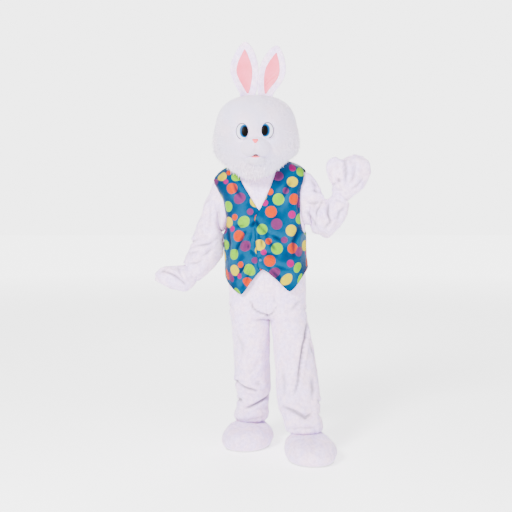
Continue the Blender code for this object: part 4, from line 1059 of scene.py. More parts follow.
VEST_CREASES = {
    "vest_front_left": {
        "front": [
            ([(0, 1.239), (.032, 1.201), (.085, 1.159), (.144, 1.132)], .01, .0045, (1, .6)),
            ([(0, 1.233), (.053, 1.164), (.101, 1.084)], .01, .0045, (1, .8)),
            ([(.006, 1.228), (.02, 1.16), (.04, 1.09)], .008, .0035, (.9, .6)),
            ([(.01, 1.036), (.053, 1.063), (.107, 1.052)], .009, .0035, (.9, .6)),
            ([(.016, 1.031), (.075, .988), (.133, .924)], .011, .004, (1, .7)),
            ([(.018, 1.036), (.06, 1.02), (.12, .99), (.19, .975)], .01, .003, (1, .7)),
            ([(.182, 1.446), (.15, 1.382), (.129, 1.323)], .012, .003, (.8, .8)),
            ([(.225, 1.2), (.2, 1.13), (.205, 1.05)], .012, .004, (1, .6)),
            ([(.24, 1.4), (.225, 1.33), (.23, 1.26)], .01, .003, (.9, .6)),
        ],
        "left": [
            ([(-.06, 1.14), (-.04, 1.08), (-.05, 1.01)], .01, .004, (1, .6)),
        ],
    },
    "vest_front_right": {
        "front": [
            ([(-.005, 1.233), (-.048, 1.186), (-.096, 1.1), (-.117, 1.042)], .01, .0045, (1, .7)),
            ([(-.012, 1.228), (-.03, 1.15), (-.05, 1.075)], .009, .0045, (1, .8)),
            ([(-.011, 1.223), (-.053, 1.212), (-.106, 1.212)], .009, .0035, (1, .6)),
            ([(.002, 1.036), (-.032, 1.084), (-.069, 1.138)], .009, .0035, (.9, .7)),
            ([(.002, 1.03), (-.027, .988), (-.048, .929), (-.07, .88)], .01, .0045, (1, .8)),
            ([(-.02, 1.02), (-.07, .985), (-.11, .93)], .011, .0035, (1, .6)),
            ([(-.128, 1.457), (-.107, 1.404), (-.07, 1.35)], .012, .003, (.8, .8)),
            ([(-.15, 1.2), (-.14, 1.12), (-.15, 1.03)], .011, .004, (1, .6)),
        ],
        "right": [
            ([(.02, 1.13), (.03, 1.07), (.01, 1)], .01, .004, (1, .6)),
        ],
    },
    "vest_back": {
        "back": [
            ([(-.07, 1.49), (.02, 1.475), (.12, 1.488)], .012, .0035, (.9, .6)),
            ([(-.1, 1.38), (-.02, 1.345), (.06, 1.35)], .013, .0035, (1, .6)),
            ([(.1, 1.36), (.15, 1.3), (.17, 1.22)], .012, .004, (1, .6)),
            ([(-.11, 1.24), (-.07, 1.15), (-.075, 1.04)], .013, .0045, (1, .6)),
            ([(.05, 1.22), (.045, 1.12), (.06, 1.01)], .014, .0045, (1, .7)),
            ([(.18, 1.17), (.15, 1.1), (.16, 1.01)], .012, .004, (1, .6)),
            ([(-.02, 1.14), (-.01, 1.07), (-.025, 1)], .01, .003, (1, .7)),
        ],
        "left": [
            ([(.02, 1.14), (.05, 1.07), (.04, 1)], .01, .004, (1, .6)),
        ],
        "right": [
            ([(.09, 1.14), (.1, 1.07), (.09, .99)], .01, .004, (1, .6)),
        ],
    },
}


def vest_moved(name, grid, normals, folds):
    """A panel pushed out by its folds and its ease, and drawn in along its armhole."""
    height, sewn = height_of(grid), VEST_PANELS[name][0]
    push = folds + 0.0030
    push += slack(grid, 0.09, 0.0050, 5, (1, 1, 0.6)) + slack(grid, 0.03, 0.0022, 6, (1, 1, 0.8))
    if name == "vest_front_right":
        under = smooth(0.075, 0.045, edge_gap(grid, "r")) * smooth(1.33, 1.30, height)
        push = push * (1 - under) - 0.0008 * under
    push = np.maximum(push, -0.0012) * smooth(VEST_TOP, 1.49, height)
    push += 0.0016 * smooth(1.03, 0.93, height)
    drawn = np.exp(-(edge_gap(grid, sewn) / 0.022) ** 2) * smooth(0.13, 0.19, np.abs(grid[..., 0] - 0.045))
    drawn *= smooth(VEST_ARMHOLE_LOW - 0.03, VEST_ARMHOLE_LOW + 0.02, height) * smooth(1.46, 1.41, height)
    push -= 0.011 * drawn
    grid = grid + normals * push[..., None]
    shoulder = np.exp(-(edge_gap(grid, sewn) / 0.045) ** 2) * (grid[..., 0] < -0.05)
    grid[..., 0] -= 0.020 * shoulder * smooth(1.33, 1.43, height)
    grid[..., 2] -= 0.006 * shoulder * smooth(1.44, 1.485, height)
    return grid


def printed_place(name, start):
    """Where each point lies on the printed cloth: across from the body's middle, and up from the origin."""
    flat, up = cloth_map(start), height_of(start)
    flat[..., 1] = start[..., 2] + SHOULDER_DROOP[name] * smooth(1.41, 1.53, up)
    middle = {"vest_front_left": 0, "vest_front_right": -1, "vest_back": flat.shape[1] // 2}[name]
    flat[..., 0] += start[:, [middle], 0] - flat[:, [middle], 0]
    if name == "vest_front_right":
        outer = smooth(-0.03, -0.14, start[..., 0])
        flat[..., 1] += 0.015 * outer
        flat[..., 0] += 0.012 * outer * smooth(1.10, 1.25, up)
    return flat


def vest():
    """Two fronts and a back of one printed cloth, sewn at the sides and the shoulders."""
    panels = {"vest_front_left": vest_front("left"), "vest_front_right": vest_front("right")[:, ::-1],
              "vest_back": vest_back()}
    starts = shared_normals([(grid, False) for grid in panels.values()])
    moved, folds = [], {}
    for (name, grid), normals in zip(panels.items(), starts):
        push = VEST_FOLDS * creases(grid, normals, VEST_CREASES[name])
        # deeper folds that only set the painted shade and the painted highlight
        folds[name] = 1.3 * push + slack(grid, 0.06, 0.006, 21, (1, 1, 0.5))
        moved.append((vest_moved(name, grid, normals, push), False))
    satin = satin_finish()
    for (name, start), (grid, _), normals in zip(panels.items(), moved, shared_normals(moved)):
        sewn, finished, size = VEST_PANELS[name]
        flat, height, gap = printed_place(name, start), height_of(grid), edge_gap(grid, finished)
        armhole = (height > VEST_ARMHOLE_LOW + .01) & (np.abs(grid[..., 0] - 0.04) > 0.10)
        gap = np.where(armhole, np.minimum(gap, edge_gap(grid, sewn)), gap)
        marks = dots_on(name, flat, grid)
        plain = (marks["dot_edge"] > 0) & (marks["spot_edge"] > 0)
        # marks for the painted shade in the fold bottoms and the painted highlight on the ridges
        marks.update(hollow=np.clip(-folds[name] / 0.006, 0, 1) * 0.85,
                     ridge=np.clip(folds[name] / 0.005, 0, 1) * 0.5 * plain, hem=gap)
        seam = seam_groove(grid, sewn, 0.0012, 0.005)
        seam *= smooth(VEST_ARMHOLE_LOW + .005, VEST_ARMHOLE_LOW - .01, height)
        turned_edge = 0.0006 * np.exp(-((gap - 0.004) / 0.003) ** 2)
        grid = grid + normals * (seam + turned_edge)[..., None]
        grid = grid + drawn_back(grid, normals, sewn)
        piece = shell(name + "_satin", grid, normals, SATIN_THICK, False, satin, flat, marks,
                      {"dot_edge": 9.0, "spot_edge": 9.0})
        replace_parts(piece, name)


# ---------------------------------------------------------------- mitts
def cuff_row(side, back, ring, columns):
    """Half of the mitt's cuff, from its thumb edge to its far edge, tucked just inside the sleeve's end."""
    points = sleeve_ring(side, ring, 2 * columns - 2)
    middle = points.mean(axis=0)
    points = middle + (points - middle) * CUFF_FIT
    half = columns - 1
    return points[half:].tolist() + [points[0].tolist()] if back else points[half::-1].tolist()


MITT_ROWS, MITT_COLUMNS = 62, 49


def mitt_grid(side, back):
    """The palm or the back of a mitt: straight rows between its edges, bulged away from the side seam."""
    mitt = MITTS[side]
    crown = Table("across up", *mitt["crown"])
    cuffs = [cuff_row(side, back, ring, MITT_COLUMNS) for ring in np.linspace(*CUFF_RINGS, CUFF_ROWS)]
    grid = []
    for k in range(MITT_ROWS):
        at = math.sin(math.pi / 2 * k / (MITT_ROWS - 1))
        row = mitt["outline"].read(at)
        line = []
        for i in range(MITT_COLUMNS):
            across = (1 - math.cos(math.pi * i / (MITT_COLUMNS - 1))) / 2
            bulge = math.sin(math.pi * i / (MITT_COLUMNS - 1)) ** 0.8 * row["deep"]
            x = row["edge_x"] + (row["far_x"] - row["edge_x"]) * across
            height = row["edge_h"] + (row["far_h"] - row["edge_h"]) * across
            height += crown.read(across)["up"] * at ** 3
            lean = mitt["lean"] * at * 0.2
            line.append((x, mitt["y"] + lean + (bulge if back else -bulge), height))
        grid.append(line)
    last, first = np.array(cuffs[-1]), np.array(grid[0])
    between = [(last * (1 - t) + first * t).tolist() for t in (0.2, 0.4, 0.6, 0.8)]
    return to_row(cuffs + between + grid)


MITT_CREASES = {
    "left": {
        "front": [
            ([(.468, 1.408), (.44, 1.45), (.42, 1.49)], .008, .007),
            ([(.47, 1.41), (.474, 1.48), (.468, 1.572)], .01, .01),
            ([(.482, 1.41), (.515, 1.47), (.526, 1.548)], .009, .006),
            ([(.486, 1.395), (.533, 1.425), (.57, 1.47)], .009, .005),
            ([(.418, 1.405), (.45, 1.4), (.486, 1.378)], .008, .006),
            ([(.392, 1.425), (.425, 1.44), (.455, 1.47)], .009, .007),
            ([(.425, 1.5), (.432, 1.53), (.43, 1.56)], .009, .004),
        ],
        "back": [
            ([(.47, 1.41), (.474, 1.48), (.468, 1.572)], .011, .008),
            ([(.482, 1.41), (.52, 1.465), (.545, 1.53)], .01, .005),
            ([(.418, 1.41), (.455, 1.405), (.49, 1.385)], .009, .006),
            ([(.46, 1.42), (.43, 1.46), (.405, 1.49)], .009, .005),
        ],
    },
    "right": {
        "front": [
            ([(-.505, .968), (-.465, .958), (-.424, .936), (-.395, .91), (-.375, .89)], .007, .01),
            ([(-.427, .988), (-.401, .942), (-.378, .905)], .007, .007),
            ([(-.391, 1.008), (-.352, .971), (-.345, .92)], .008, .006),
            ([(-.43, .992), (-.4, .975), (-.37, .972)], .009, .004),
            ([(-.53, .955), (-.5, .972), (-.47, .985)], .01, .004),
        ],
        "back": [
            ([(-.5, .94), (-.45, .92), (-.4, .89)], .009, .007),
            ([(-.48, .972), (-.43, .95), (-.38, .935)], .01, .006),
            ([(-.385, .995), (-.36, .96), (-.34, .92)], .009, .006),
        ],
    },
}


def mitts():
    """Two mitts, each a palm and a back sewn round the edge, with the cuff tucked into the sleeve."""
    for side in SIDES:
        panels = {}
        for part in ("palm", "back"):
            grid = mitt_grid(side, part == "back")
            flip = (side == "right") == (part == "palm")
            panels[f"mitt_{part}_{side}"] = (grid[:, ::-1] if flip else grid, False)
        moved, hollows = [], {}
        for (name, (grid, _)), normals in zip(panels.items(), shared_normals(list(panels.values()))):
            folds = MITT_FOLDS * creases(grid, normals, MITT_CREASES[side])
            push = folds + slack(grid, 0.045, 0.006, 8, (1, 1, 1)) + slack(grid, 0.02, 0.0024, 9, (1, 1, 1))
            free = np.zeros(grid.shape[0])
            free[CUFF_ROWS:] = np.clip(np.linspace(0, 6, grid.shape[0] - CUFF_ROWS), 0, 1)
            push = (push + seam_groove(grid, "lrt", 0.0022, 0.004)) * free[:, None]
            moved.append((grid + normals * push[..., None], False))
            # painted shade for the bottoms of the folds, which the finish reads as a mark
            hollows[name] = hollow_shade(folds, 0.75)
        for (name, (start, _)), (grid, _), normals in zip(panels.items(), moved, shared_normals(moved)):
            grid = grid + drawn_back(grid, normals, "lrt")
            piece = shell(name + "_cloth", grid, normals, MITT_THICK, False, WHITE_FINISH,
                          cloth_map(start), {"hollow": hollows[name]})
            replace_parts(piece, name)


# ---------------------------------------------------------------- shoe covers
SHOE_COLUMNS = 38


def shoe_point(side, turn, back, height, spread, blend):
    """A point of the shoe's outline, blended into its collar just inside the coverall's gathered ankle."""
    shoe = SHOES[side]
    aside, ahead = half_oval(turn, SHOE_ROUNDNESS)
    aside, ahead = aside * SIDES[side] * SHOE_HALF_WIDE * spread, ahead * SHOE_HALF_LONG * spread
    x, y = turned(shoe["x"], shoe["y"], aside, -ahead if back else ahead, shoe["turn"])
    collar = np.array(leg_point(side, turn, ANKLE_HEIGHT, back, ANKLE_EASE)[:2] + (height,))
    return np.array((x, y, height)) * (1 - blend) + collar * blend


def round_turns(columns):
    """Turns right round: over the front from the inner side, and back behind."""
    front = [(180 * q, False) for q in np.linspace(0, 1, columns)]
    return front + [(turn, True) for turn, _ in front[-2:0:-1]]


SHOE_CREASES = {
    "left": {
        "front": [
            ([(.265, .094), (.285, .112), (.32, .122)], .009, .007),
            ([(.19, .07), (.205, .1), (.24, .116)], .01, .004),
            ([(.345, .105), (.375, .08), (.385, .05)], .01, .004),
        ],
        "back": [
            ([(.22, .06), (.285, .085), (.35, .06)], .01, .005),
        ],
    },
    "right": {
        "front": [
            ([(.02, .118), (.05, .095), (.062, .06)], .009, .006),
            ([(-.11, .1), (-.13, .075), (-.135, .05)], .01, .005),
            ([(-.06, .122), (-.02, .112), (.01, .116)], .009, .004),
        ],
        "back": [
            ([(-.11, .06), (-.045, .085), (.02, .06)], .01, .005),
        ],
    },
}


def shoe_covers():
    """Two soft covers over the shoes, each one closed sheet from the sole to the collar in the ankle."""
    rows = Table("at height spread blend", *[(k, *row) for k, row in enumerate(SHOE_ROWS)])
    for side in SIDES:
        grid = []
        for row in (rows.read(at) for at in np.linspace(0, len(SHOE_ROWS) - 1, 54)):
            blend = min(max(row["blend"], 0), 1)
            grid.append([shoe_point(side, turn, back, row["height"], row["spread"], blend)
                         for turn, back in round_turns(SHOE_COLUMNS)])
        grid = to_row(grid)[:, ::-1] if side == "right" else to_row(grid)
        normals = shared_normals([(grid, True)])[0]
        height, shoe = height_of(grid), SHOES[side]
        toe = np.array(turned(shoe["x"], shoe["y"], 0, 1, shoe["turn"])) - (shoe["x"], shoe["y"])
        ahead = (grid[..., 0] - shoe["x"]) * toe[0] + (grid[..., 1] - shoe["y"]) * toe[1]
        aside = (grid[..., 0] - shoe["x"]) * toe[1] - (grid[..., 1] - shoe["y"]) * toe[0]
        seam = np.exp(-(aside / 0.005) ** 2) * smooth(0.02, 0.06, ahead) * smooth(0.02, 0.05, height)
        gathered = np.exp(-((height - 0.118) / 0.010) ** 2) * np.sin(9 * np.arctan2(aside, ahead))
        push = slack(grid, 0.07, 0.008, 11, (1, 1, 1)) + slack(grid, 0.03, 0.002, 12, (1, 1, 1))
        push += creases(grid, normals, SHOE_CREASES[side]) - 0.002 * seam + 0.0035 * gathered
        push *= smooth(0.008, 0.03, height) * smooth(0.134, 0.122, height)
        grid = grid + normals * push[..., None]
        normals = shared_normals([(grid, True)])[0]
        piece = shell(f"shoe_upper_{side}_cloth", grid, normals, SHOE_THICK, True, WHITE_FINISH,
                      cloth_map(grid))
        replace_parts(piece, f"shoe_upper_{side}")


# ---------------------------------------------------------------- head
def head_point(turn, height):
    """A point of the fur's outer surface."""
    row = HEAD.read(height)
    aside, ahead = section_point((row["side"], row["front"], row["back"]), turn)
    x, y = turned(HEAD_X, HEAD_Y, aside, ahead, HEAD_TURN)
    return x, y, height


def face_depth(x, height):
    """The y of the fur's front at a place on the face."""
    low, high = -88.0, 88.0
    for _ in range(24):
        middle = (low + high) / 2
        if head_point(middle, height)[0] < x:
            low = middle
        else:
            high = middle
    return head_point(low, height)[1]


def crown_height(x, y):
    """The height of the head's top over a place on the plan."""
    low, high = 1.70, float(HEAD.rows[-1, 0])
    for _ in range(30):
        middle = (low + high) / 2
        row = HEAD.read(middle)
        reach = row["front"] if y < HEAD_Y else row["back"]
        inside = (abs(x - HEAD_X) / row["side"]) ** SQUARENESS + (abs(y - HEAD_Y) / reach) ** SQUARENESS < 1
        low, high = (middle, high) if inside else (low, middle)
    return low


def fur_depth(points):
    """How thick the fur lies over the foam: thin on the face and the crown, deep on the cheeks and chin."""
    height = height_of(points)
    cheek = smooth(1.79, 1.62, height) * smooth(0.10, 0.19, np.abs(points[..., 0] - HEAD_X))
    chin = smooth(1.585, 1.535, height)
    behind = smooth(-0.02, 0.06, points[..., 1]) * smooth(1.80, 1.66, height)
    return 0.0065 + 0.0125 * np.maximum(np.maximum(cheek, chin), 0.7 * behind)


SKULL_ROWS, SKULL_COLUMNS = 64, 112
SPREAD = (0.7548776662466927, 0.5698402909980532)     # steps that spread points evenly over a square


def skull_grid():
    """The fur's outer surface, and the foam's surface under it, from the neck rim to the crown."""
    rows = []
    for k in range(SKULL_ROWS):
        share = math.sin(math.pi / 2 * k / SKULL_ROWS)
        row = []
        for q in range(SKULL_COLUMNS):
            turn = -180 + 360 * q / SKULL_COLUMNS
            lift = 0.010 + 0.012 * smooth_step(120, 80, abs(turn))
            rim = HEAD_RIM.read(turn)["height"] + lift
            row.append(head_point(turn, rim + (HEAD.rows[-1, 0] - 0.0004 - rim) * share))
        rows.append(row)
    outer = to_row(rows)
    normals = shared_normals([(outer, True)])[0]
    foam = outer - normals * fur_depth(outer)[..., None]
    return outer, normals, foam


def closed_cap(name, outer, thick, finish):
    """A closed round shell with one open rim, from its outer rows and its thickness."""
    rows, columns = outer.shape[:2]
    size, inner = rows * columns, outer - shared_normals([(outer, True)])[0] * thick
    crowns = [sheet[-1].mean(axis=0) + (0, 0, 0.0004) for sheet in (outer, inner)]
    faces = two_skins(rows, columns, True)
    for c in range(columns):
        d = (c + 1) % columns
        faces.append((d, c, c + size, d + size))
        top, after = size - columns + c, size - columns + d
        faces += [(top, after, 2 * size), (after + size, top + size, 2 * size + 1)]
    points = np.vstack([outer.reshape(-1, 3), inner.reshape(-1, 3), *crowns])
    return add_piece(name, solid_mesh(name, points, faces), finish)


def fur_finish():
    """Long white fur: painted shade from each tuft's root towards its tip, tufts toned at random and painted
    darker along the smile creases, cool and warm patches, a blush near the eyes, and a painted glow.
    """
    # The emission is a painted glow: the fur lights itself a little, in place of light scattered through the
    # tufts.
    made, tree, shader = new_finish("long white fur", (0.95, 0.94, 0.97), 0.85, Sheen_Weight=0.5,
                                    Sheen_Roughness=0.5, Specular_IOR_Level=0.15, Subsurface_Weight=0.6,
                                    Subsurface_Scale=0.008, Emission_Strength=0.56)
    shader.inputs["Subsurface Radius"].default_value = (1.0, 0.85, 0.95)
    shader.inputs["Emission Color"].default_value = (0.82, 0.66, 1.0, 1)
    where = object_place(tree)
    patches = noise_field(tree, where, 11, 4, 0.6)
    base = ramp(tree, patches, [(0.38, (1.0, 0.82, 0.92)), (0.58, (0.84, 0.80, 1.0))])
    # painted shade: each tuft darkens from its tip towards its root
    painted_root_shade = mix(tree, marked(tree, "along"), (0.86, 0.83, 0.86), (1, 1, 1))
    # each tuft's tone varies at random and falls to dark along the smile creases as painted shade
    tone_and_smile_colour = mix(tree, marked(tree, "tone_and_smile_shade"), (0.78, 0.76, 0.82), (1, 1, 1))
    colour = mix(tree, 1.0, mix(tree, 1.0, base, painted_root_shade, "MULTIPLY"), tone_and_smile_colour, "MULTIPLY")
    colour = mix(tree, marked(tree, "blush"), colour, (0.90, 0.66, 0.72))
    tree.links.new(colour, shader.inputs["Base Color"])
    bump(tree, [(noise_field(tree, where, 420, 2, 0.6), 0.3, 0.0008)], shader)
    return made


def even_points(grid, weight, count):
    """Evenly spread places on a closed grid as fractional rows and columns, denser where weight is higher."""
    after = np.roll(grid, -1, axis=1)
    cell = np.linalg.norm(np.cross(after[:-1] - grid[:-1], grid[1:] - grid[:-1]), axis=2) * weight[:-1]
    row_sum = np.concatenate([[0], np.cumsum(cell.sum(axis=1))])
    k = np.arange(count)
    v = (0.5 + SPREAD[0] * k) % 1.0 * row_sum[-1]
    u = (0.5 + SPREAD[1] * k) % 1.0
    r = np.clip(np.searchsorted(row_sum, v, side="right") - 1, 0, len(cell) - 1)
    row_at = r + (v - row_sum[r]) / np.maximum(row_sum[r + 1] - row_sum[r], 1e-12)
    across = np.concatenate([np.zeros((len(cell), 1)), np.cumsum(cell, axis=1)], axis=1)
    across /= across[:, -1:]
    column_at = np.empty(count)
    for row in range(len(cell)):
        found = np.nonzero(r == row)[0]
        column_at[found] = np.interp(u[found], across[row], np.arange(across.shape[1]))
    return row_at, column_at


def read_grid(values, row_at, column_at):
    """The values of a closed grid at fractional rows and columns."""
    r = np.clip(row_at.astype(int), 0, values.shape[0] - 2)
    c = column_at.astype(int) % values.shape[1]
    d = (c + 1) % values.shape[1]
    t, s = (row_at - r)[:, None], (column_at - np.floor(column_at))[:, None]
    return ((values[r, c] * (1 - s) + values[r, d] * s) * (1 - t)
            + (values[r + 1, c] * (1 - s) + values[r + 1, d] * s) * t)


def unit(vectors):
    return vectors / np.maximum(np.linalg.norm(vectors, axis=-1, keepdims=True), 1e-9)


def laid_flat(vectors, normal):
    """The vectors' directions laid onto the surface."""
    return unit(vectors - normal * (vectors * normal).sum(axis=1, keepdims=True))


def tufts(name, roots, rise, lean, length, wide, tone_and_smile_shade, blush, finish, slot):
    """Three-sided tapered tufts of fur, each closed: they rise along rise and bend over towards lean."""
    count = len(roots)
    middle = roots + unit(rise) * (length * 0.45)[:, None]
    tips = middle + unit(lean) * (length * 0.55)[:, None]
    axis = unit(tips - roots)
    side = unit(np.cross(axis, np.tile((0.21, 0.43, 0.88), (count, 1))))
    other = np.cross(axis, side)
    spin = rng.random(count) * 2 * np.pi
    points = np.empty((count, 7, 3))
    for corner in range(3):
        angle = spin + corner * 2 * np.pi / 3
        out = side * np.cos(angle)[:, None] + other * np.sin(angle)[:, None]
        points[:, corner] = roots + out * wide[:, None]
        points[:, 3 + corner] = middle + out * (wide * 0.72)[:, None]
    points[:, 6] = tips
    one = np.array([(2, 1, 0), (0, 1, 4), (0, 4, 3), (1, 2, 5), (1, 5, 4), (2, 0, 3), (2, 3, 5),
                    (3, 4, 6), (4, 5, 6), (5, 3, 6)])
    faces = (one[None] + 7 * np.arange(count)[:, None, None]).reshape(-1, 3)
    mesh = bpy.data.meshes.new(name)
    mesh.vertices.add(7 * count)
    mesh.vertices.foreach_set("co", points.ravel())
    mesh.loops.add(faces.size)
    mesh.loops.foreach_set("vertex_index", faces.ravel().astype(np.int32))
    mesh.polygons.add(len(faces))
    mesh.polygons.foreach_set("loop_start", np.arange(0, faces.size, 3, dtype=np.int32))
    mesh.update(calc_edges=True)
    mesh.shade_smooth()
    along = np.tile((0.0, 0.0, 0.0, 0.7, 0.7, 0.7, 1.0), count)
    for label, values in (("along", along), ("tone_and_smile_shade", np.repeat(tone_and_smile_shade, 7)), ("blush", np.repeat(blush, 7))):
        mesh.attributes.new(label, "FLOAT", "POINT").data.foreach_set("value", values.astype(np.float32))
    add_piece(name, mesh, finish)


def within(points, centre, half):
    """0 at the middle of an oval on the face, 1 on its edge, and far more behind the head."""
    reach = np.hypot((points[:, 0] - centre[0]) / half[0], (height_of(points) - centre[1]) / half[1])
    return np.where(points[:, 1] < HEAD_Y, reach, 99.0)


# the smile creases: the tufts along them are shorter and painted darker as shade
SMILE = [[(-.066, 1.590), (-.050, 1.575), (-.022, 1.571)], [(.018, 1.571), (.042, 1.576), (.060, 1.594)]]


def near_line(points, lines):
    """How far each point on the face lies from these lines, seen from the front."""
    place, best = np.stack([points[:, 0], height_of(points)], axis=1), np.full(len(points), 9.0)
    for line in np.array(lines):
        for start, end in zip(line[:-1], line[1:]):
            t = np.clip(((place - start) @ (end - start)) / ((end - start) @ (end - start)), 0, 1)[:, None]
            best = np.minimum(best, np.linalg.norm(place - start - t * (end - start), axis=1))
    return np.where(points[:, 1] < HEAD_Y, best, 9.0)


def head_fur(outer, normals, foam, finish):
    """Tufts over the whole head, combed away from the face and down, in four pieces."""
    count = TUFTS
    place = even_points(foam, 1 + 0.5 * smooth(0.06, -0.08, foam[..., 1]), count)
    roots, normal = read_grid(foam, *place), unit(read_grid(normals, *place))
    deep = np.linalg.norm(read_grid(outer, *place) - roots, axis=1)
    height, facing = height_of(roots), smooth(-0.05, -0.13, roots[:, 1])
    away = laid_flat(roots - (HEAD_X - 0.003, -0.24, 1.665 - ORIGIN_HEIGHT), normal)
    down = laid_flat(np.tile((0.0, 0.0, -1.0), (count, 1)), normal)
    falling = smooth(1.86, 1.66, height) * (1 - 0.5 * facing * smooth(1.60, 1.66, height))
    flow = unit(away * (1.05 - falling)[:, None] + down * falling[:, None])
    jitter = rng.normal(0, 1, (count, 3))
    long = smooth(0.0075, 0.018, deep)
    length = deep * (1.75 - 0.15 * long) * (1 + rng.normal(0, 0.15, count).clip(-0.35, 0.35))
    length *= 1 + 0.35 * long * (rng.random(count) > 0.86)
    smile = near_line(roots, SMILE)
    length *= 1 - 0.65 * np.exp(-(smile / 0.0035) ** 2)
    near = within(roots, MUZZLE_CENTRE, MUZZLE_HALF)
    keep = near > 0.93
    for centre, half, share in ((NOSE_AT, NOSE_HALF, (1.2, 1.7)), (MOUTH_AT, MOUTH_HALF, (1.1, 1.3)),
                                (MOUTH_SHADOW_AT, MOUTH_SHADOW_HALF, (1.1, 1.5))):
        keep &= within(roots, centre, np.multiply(half, share)) > 1
    blush = np.zeros(count)
    for x, up in EYES.values():
        beside = within(roots, (x, up), EYE_HALF)
        keep &= beside > 1.04
        length = np.where(beside < 1.7, length * (0.42 + 0.58 * smooth(1.0, 1.7, beside)), length)
        blush = np.maximum(blush, 0.28 * np.exp(-within(roots, (x, up + 0.047), (0.030, 0.009)) ** 2))
    length = np.where(near < 1.5, length * (0.6 + 0.4 * smooth(1.0, 1.5, near)), length)
    length = np.where(within(roots, MOUTH_AT, (0.040, 0.026)) < 1, length * 0.6, length)
    rise = normal * 0.85 + flow * 0.60 + jitter * 0.20
    lean = normal * (0.30 - 0.05 * long)[:, None] + flow + jitter * (0.26 + 0.02 * long)[:, None]
    wide = 0.0017 + 0.0010 * long + 0.0005 * rng.random(count)
    # random tone, with painted shade along the smile creases
    tone_and_smile_shade = rng.random(count) * (1 - np.exp(-(smile / 0.004) ** 2))
    roots = roots - normal * 0.0012
    front, left = roots[:, 1] < HEAD_Y, roots[:, 0] >= HEAD_X
    quarters = {"front_left": front & left, "front_right": front & ~left,
                "back_left": ~front & left, "back_right": ~front & ~left}
    for quarter, chosen in quarters.items():
        looks = [values[chosen & keep] for values in (roots, rise, lean, length, wide, tone_and_smile_shade, blush)]
        tufts(f"fur_{quarter}", *looks, finish, "white_long_fur")


def raised_pad(name, centre, half, finish, slot, rise, base, depth, outline=None, rings=14, spokes=64):
    """A soft raised piece on the face, deep enough at the back to sit on the foam."""
    front, back = [], []
    for ring in range(rings + 1):
        share = math.sin(math.pi / 2 * ring / rings)
        for spoke in range(spokes if ring else 1):
            angle = 2 * math.pi * spoke / spokes
            reach = share * (outline(math.degrees(angle)) if outline else 1.0)
            x = centre[0] + half[0] * reach * math.cos(angle)
            height = centre[1] + half[1] * reach * math.sin(angle)
            under = base(x, height)
            back.append((x, under + depth, height))
            front.append((x, under - rise(share, x, height), height))
    size = len(front)
    faces = [(0, 1 + (s + 1) % spokes, 1 + s)[::-1] for s in range(spokes)]
    for ring in range(rings - 1):
        for s in range(spokes):
            a, b = 1 + ring * spokes + s, 1 + ring * spokes + (s + 1) % spokes
            faces.append((a, a + spokes, b + spokes, b))
    faces += [tuple(i + size for i in face[::-1]) for face in faces]
    for s in range(spokes):
        a, b = size - spokes + s, size - spokes + (s + 1) % spokes
        faces.append((a, a + size, b + size, b))
    return add_piece(name, solid_mesh(name, to_row(front + back), faces), finish)


def muzzle_outline(angle):
    """Two cheeks with a notch for the mouth below."""
    off = (angle - 270) / 24
    return 1 - 0.36 * math.exp(-off * off)


def muzzle_rise(share, x, height):
    """Two soft cheeks with a shallow groove between them, rolled under to the edge."""
    groove = math.exp(-((x - MUZZLE_CENTRE[0]) / 0.008) ** 2)
    low = 1.0 if height < NOSE_AT[1] else 0.5
    return 0.0015 + MUZZLE_RISE * max(1 - share * share, 0.0) ** 0.5 * (1 - 0.16 * groove * low)


def muzzle_front(x, height):
    """The y of the muzzle's front at a place on it."""
    across, up = (x - MUZZLE_CENTRE[0]) / MUZZLE_HALF[0], (height - MUZZLE_CENTRE[1]) / MUZZLE_HALF[1]
    angle = math.degrees(math.atan2(up, across)) % 360
    share = min(math.hypot(across, up) / muzzle_outline(angle), 1.0)
    return face_depth(x, height) - muzzle_rise(share, x, height)


def nose_outline(angle):
    """A rounded triangle that points down."""
    return 0.86 + 0.14 * math.cos(math.radians(3 * (angle + 90)))


def dome(rise):
    """A plain rounded swelling for a raised pad."""
    return lambda share, x, height: 0.001 + rise * max(1 - share * share, 0.0) ** 0.5


def mottled(name, colour, shades, roughness, sheen, scale, grain):
    """A finish whose colour drifts between two shades; its noise is given back for the bumps."""
    made, tree, shader = new_finish(name, colour, roughness, Sheen_Weight=sheen)
    where = object_place(tree)
    drift = noise_field(tree, where, scale, 3, grain)
    tree.links.new(ramp(tree, drift, [(0.3, shades[0]), (0.7, shades[1])]), shader.inputs["Base Color"])
    return made, tree, shader, where, drift


def pink_felt():
    shades = ((0.74, 0.060, 0.085), (0.84, 0.095, 0.125))
    made, tree, shader, _, fibres = mottled("pink felt", (0.80, 0.09, 0.12), shades, 0.85, 0.1, 900, 0.7)
    bump(tree, [(fibres, 0.4, 0.0006)], shader)
    return made


